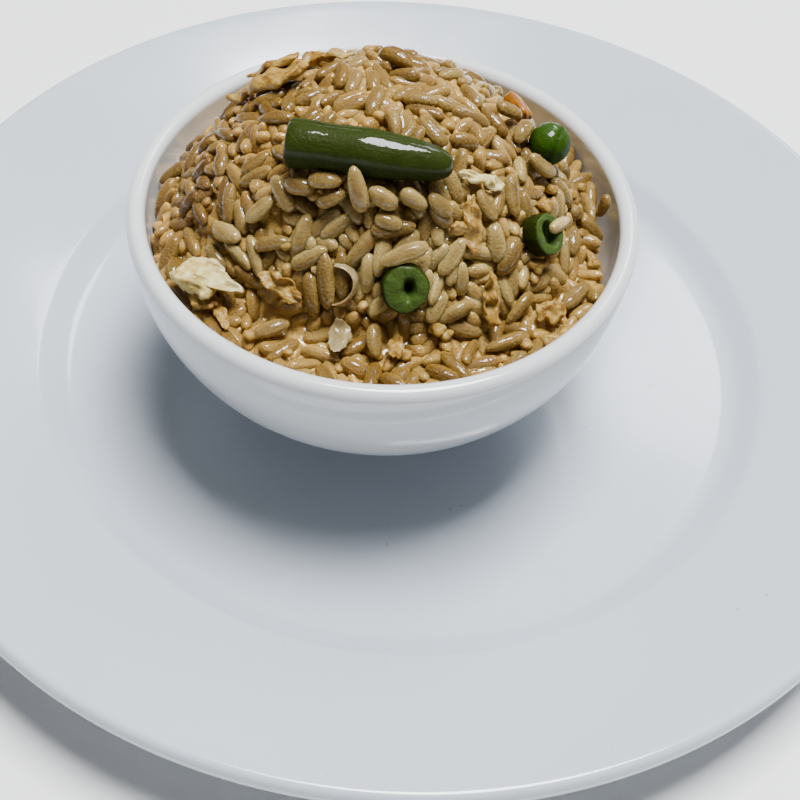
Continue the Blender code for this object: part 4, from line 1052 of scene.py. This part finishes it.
def push_apart(beads):
    """Moves overlapping beads half way apart each, and beads off the toppings' balls the whole way."""
    everything = np.concatenate([beads, balls[:, :3]])
    radii = np.concatenate([bead_radius, balls[:, 3]])
    pairs = close_pairs(everything, PAIR_REACH)
    pairs = pairs[(pairs < len(beads)).any(axis=1)]
    owners = np.concatenate([owner, np.full(len(balls), -1)])
    pairs = pairs[owners[pairs[:, 0]] != owners[pairs[:, 1]]]
    apart = everything[pairs[:, 0]] - everything[pairs[:, 1]]
    distance = np.linalg.norm(apart, axis=1) + 1e-9
    overlap = radii[pairs].sum(axis=1) - distance
    touching = overlap > 0
    pairs, apart, overlap, distance = pairs[touching], apart[touching], overlap[touching], distance[touching]
    fixed = (pairs >= len(beads)).any(axis=1)
    shove = apart / distance[:, None] * (overlap * np.where(fixed, 1.0, 0.5))[:, None]
    moved = np.zeros_like(everything)
    count = np.zeros(len(everything))
    for column, sign in ((0, 1.0), (1, -1.0)):
        count += np.bincount(pairs[:, column], minlength=len(everything))
        for side in range(3):
            moved[:, side] += np.bincount(pairs[:, column], sign * shove[:, side], minlength=len(everything))
    moved /= np.maximum(count, 1)[:, None] ** 0.5
    return moved[:len(beads)]


def hold_in(beads, pull):
    """Keeps beads between the deepest and outermost distance from the core and off the bowl's wall, and pulls them in.

    Beside a large topping the outermost distance rises, so that the rice is heaped against it.
    """
    normal = core_normal(beads[:, 0], beads[:, 1])
    depth = (beads[:, 2] - core_height(beads[:, 0], beads[:, 1])) * normal[:, 2]
    gaps = np.linalg.norm(beads[:, None] - large_balls[None, :, :3], axis=-1)
    gaps = gaps - large_balls[:, 3] - bead_radius[:, None]
    bank = BANK_HEIGHT * np.exp(-((np.maximum(gaps.min(axis=1), 0) / BANK_WIDTH) ** 2))
    target = np.clip(depth - pull, DEEPEST, OUTERMOST + bank - bead_radius)
    beads = beads + normal * (target - depth)[:, None]
    distance = np.hypot(beads[:, 0], beads[:, 1]) + 1e-9
    limit = wall_radius(beads[:, 2]) - bead_radius - 0.1
    beads[:, :2] *= np.minimum(1.0, limit / distance)[:, None]
    return beads


for number in range(ROUNDS):
    beads = (centres[:, None] + axes[:, None] * (half[:, None] * BEADS)[..., None]).reshape(-1, 3)
    beads = beads + push_apart(beads) * SHOVE
    beads = hold_in(beads, PULL).reshape(-1, 4, 3)
    centres = beads.mean(axis=1)
    axes = unit((beads * BEADS[:, None]).sum(axis=1))
print("settled; mean overlap shove:", round(float(np.abs(push_apart(beads.reshape(-1, 3))).mean()), 3), "mm")

# %% [markdown]
# ## Grain meshes
# A grain is a blunt spindle, flattened, a little bent and fatter at one end. All grains are one array: rings
# along each grain, points round each ring. Grains at the surface get eight sides, those below them six.

# %% Grain shape
BODY_FULLNESS = 2.7
END_BLUNTNESS = 0.51


def grain_shapes(centres, axes, flats, lengths, widths, bends, tapers, rings, sides):
    """Points of blunt spindles, pole, rings, pole: u runs along a grain and turn round it; width fades to the ends."""
    u = -np.cos(np.pi * np.arange(rings + 2) / (rings + 1))
    blunt = np.clip(1 - np.abs(u) ** BODY_FULLNESS, 0, 1) ** END_BLUNTNESS
    turn = 2 * np.pi * np.arange(sides) / sides
    count = len(centres)
    side = np.cross(flats, axes)
    girth = blunt * (1 + tapers[:, None] * u)
    line = centres[:, None] + axes[:, None] * (lengths[:, None] / 2 * u)[..., None]
    line = line + flats[:, None] * (bends[:, None] * (u ** 2 - 0.35))[..., None]
    wide, thin = np.cos(turn)[:, None], (GRAIN_FLATNESS * np.sin(turn))[:, None]
    oval = side[:, None, None] * wide + flats[:, None, None] * thin
    points = line[:, :, None] + oval * (girth * widths[:, None] / 2)[:, :, None, None]
    body = points[:, 1:-1].reshape(count, -1, 3)
    return np.concatenate([points[:, :1, 0], body, points[:, -1:, 0]], axis=1)


def grain_rim(count, rings, sides):
    """For the same points, how far round to a thin side or an end each lies: 0 in the middle of a flat face."""
    u = -np.cos(np.pi * np.arange(1, rings + 1) / (rings + 1))[:, None]
    turn = 2 * np.pi * np.arange(sides) / sides
    round_side = np.maximum(np.abs(np.cos(turn)) ** 1.5, np.abs(u) ** 4)
    return np.tile(np.concatenate([[1.0], round_side.ravel(), [1.0]]), count)


# %% Each grain's turn, bend, taper and tone
FLAT_SCATTER = 0.55
BEND_SPREAD = 0.40
MOST_TAPER = 0.18
TONE_MIDDLE, TONE_SPREAD = 0.50, 0.17
FRONT_PAINTED_LIGHT = 0.75
LEFT_DARKER = 0.60

centres = np.concatenate([centres, (placed_start + placed_end) / 2])
axes = np.concatenate([axes, unit(placed_end - placed_start)])
lengths = np.concatenate([lengths, placed_run])
widths = np.concatenate([widths, PLACED[:, 6]])
everyone = len(centres)
normals = core_normal(centres[:, 0], centres[:, 1])
spread = draw.normal(size=(everyone, 3)) * FLAT_SCATTER + normals
flats = unit(spread - axes * (spread * axes).sum(axis=1, keepdims=True))
bends = draw.normal(0.0, BEND_SPREAD, everyone)
tapers = draw.uniform(-MOST_TAPER, MOST_TAPER, everyone)
# painted light: grains on the steep front face get a paler tone in place of the light the front face lacks; grains on
# slopes that face left get a darker tone
steep_front = np.clip(-normals[:, 1] - 0.15, 0, 1)
steep_left = np.clip(-normals[:, 0] - 0.05, 0, 1)
tones = draw.normal(TONE_MIDDLE, TONE_SPREAD, everyone) - FRONT_PAINTED_LIGHT * steep_front + LEFT_DARKER * steep_left
tones = np.clip(tones, 0.02, 0.98)
tones[GRAIN_COUNT:] = PLACED[:, 7]
depths = (centres[:, 2] - core_height(centres[:, 0], centres[:, 1])) * normals[:, 2]
print("grain depths from", round(float(depths.min()), 2), "to", round(float(depths.max()), 2), "mm")


def gold_and_shade_of(points):
    """How golden the rice is: on top and on the shelf more than on the front face, and in patches. The gold is partly
    the rice's own colour and partly painted shade, which darkens the top that the overhead light hits most.
    """
    on_top = np.clip((points[..., 2] - 74) / 10, 0, 1)
    on_shelf = np.clip((60 - points[..., 2]) / 4, 0, 1)
    return np.clip(0.12 + 0.38 * on_top + 0.40 * on_shelf + 0.18 * ripples(points, 22.0, 65), 0, 0.9)


# %% Add the grains
def add_grains(name, chosen, rings, sides):
    """One piece of all chosen grains, each with its tone and how deep it lies."""
    points = grain_shapes(centres[chosen], axes[chosen], flats[chosen], lengths[chosen], widths[chosen],
                          bends[chosen], tapers[chosen], rings, sides)
    count, each = points.shape[:2]
    # painted light: the deeper a grain lies, the more of the paler gap colour it gets
    sunk = np.clip((0.2 - depths[chosen]) / 4.0, 0, 0.9)
    lumps = ripples(points, 2.4, 61)[..., None] * 0.06
    points = points + lumps * unit(points - centres[chosen][:, None])
    gold_and_shade = gold_and_shade_of(centres[chosen])
    marks = {"tone": np.repeat(tones[chosen], each), "depth": np.repeat(sunk, each), "gold_and_shade": np.repeat(gold_and_shade, each),
             "rim": grain_rim(count, rings, sides)}
    faces = spindle_faces(rings, sides, count)
    add_piece(name, points.reshape(-1, 3) + BOWL_CENTRE, *faces, "fried_rice", ["rice_heap"], marks)


SURFACE_DEPTH = -2.2

surface = depths > SURFACE_DEPTH
add_grains("rice_grains", np.flatnonzero(surface), 7, 8)
add_grains("rice_below", np.flatnonzero(~surface), 5, 6)

# %% [markdown]
# ## Core
# Under the grains lies the rest of the rice, seen only through gaps. It is one closed body a little inside the
# surface, with relief as coarse as grains, and it fills the bowl.

# %% Core body
CORE_SINK = 1.4
CORE_SIDES = 220
CORE_REACH = 51.2
CORE_RELIEF = 0.35
LINING_GAP = 1.2

turn = 2 * np.pi * np.arange(CORE_SIDES)[None, :] / CORE_SIDES
share = np.linspace(0, 1, 100)[1:, None] ** 0.9
x, y = CORE_REACH * share * np.cos(turn), CORE_REACH * share * np.sin(turn)
top = np.stack([x, y, core_height(x, y)], -1) - core_normal(x, y) * CORE_SINK
top = top + ((ripples(top, 5.0, 71) + ripples(top, 3.2, 72)) * CORE_RELIEF)[..., None] * core_normal(x, y)
low = bowl_wall(np.linspace(0.42, np.pi / 2 - 0.02, 24), BOWL_RADIUS - BOWL_LIP - LINING_GAP,
                LIP_HEIGHT - BOWL_FLOOR - LINING_GAP, INNER_ROUNDNESS)
lining = np.stack([low[:, :1] * np.cos(turn), low[:, :1] * np.sin(turn), low[:, 1:] + 0 * turn], axis=-1)
body = np.concatenate([top, lining])
poles = np.array([[[0.0, 0.0, core_height(0.0, 0.0) - CORE_SINK]], [[0.0, 0.0, low[-1, 1]]]])
core_points = np.concatenate([poles[0], body.reshape(-1, 3), poles[1]])
# painted light: the core lies in the gaps and gets a depth of 0.8, so it takes most of the paler gap colour
marks = {"tone": np.full(len(core_points), 0.5), "depth": np.full(len(core_points), 0.8), "gold_and_shade": gold_and_shade_of(core_points),
         "rim": np.ones(len(core_points))}
core_faces = spindle_faces(len(body), CORE_SIDES)
add_piece("rice_core", core_points + BOWL_CENTRE, *core_faces, "fried_rice", ["rice_heap"], marks)

# %% [markdown]
# ## The grain on the wall
# One grain sticks to the bowl's inner wall on the right, where the spoon left it.

# %% Stray grain
STRAY_TURN = math.radians(6.3)
STRAY_RADIUS = 50.5
STRAY_HEIGHT = 59.2
STRAY_SIZES = np.array([[6.2], [3.0], [0.2], [0.1]])  # length, width, bend and taper
STRAY_GRID = (11, 14)

outwards = np.array([[math.cos(STRAY_TURN), math.sin(STRAY_TURN), 0.0]])
stray_centre = outwards * STRAY_RADIUS + np.array([0.0, 0.0, STRAY_HEIGHT])
stray_axis = unit(np.array([[0.17 * math.cos(STRAY_TURN), 0.10, 0.98]]))
stray_flat = unit(stray_axis * (outwards * stray_axis).sum() - outwards)
stray = grain_shapes(stray_centre, stray_axis, stray_flat, *STRAY_SIZES, *STRAY_GRID)[0]
alike = np.ones(len(stray))
marks = {"tone": alike * 0.5, "depth": alike * 0, "gold_and_shade": alike * 0.5, "rim": grain_rim(1, *STRAY_GRID)}
add_piece("wall_grain", stray + BOWL_CENTRE, *spindle_faces(*STRAY_GRID), "fried_rice", ["stray_grain"], marks)

# %% [markdown]
# ## Floor
# A pale level surface carries the plate.

# %% Table top
FLOOR_GREYS = [(0.3, (0.86, 0.86, 0.86)), (0.7, (0.89, 0.89, 0.89))]

tree, shader = begin_finish("pale_floor", Roughness=0.6)
tree.links.new(ramp(tree, noise(tree, 6.0, 2.0), FLOOR_GREYS), shader.inputs["Base Color"])
floor_mesh = bpy.data.meshes.new("table_top")
floor_mesh.from_pydata([(-3, -3, 0), (3, -3, 0), (3, 3, 0), (-3, 3, 0)], [], [(0, 1, 2, 3)])
floor_mesh.materials.append(finishes["pale_floor"])
floor = bpy.data.objects.new("table_top", floor_mesh)
bpy.context.scene.collection.objects.link(floor)
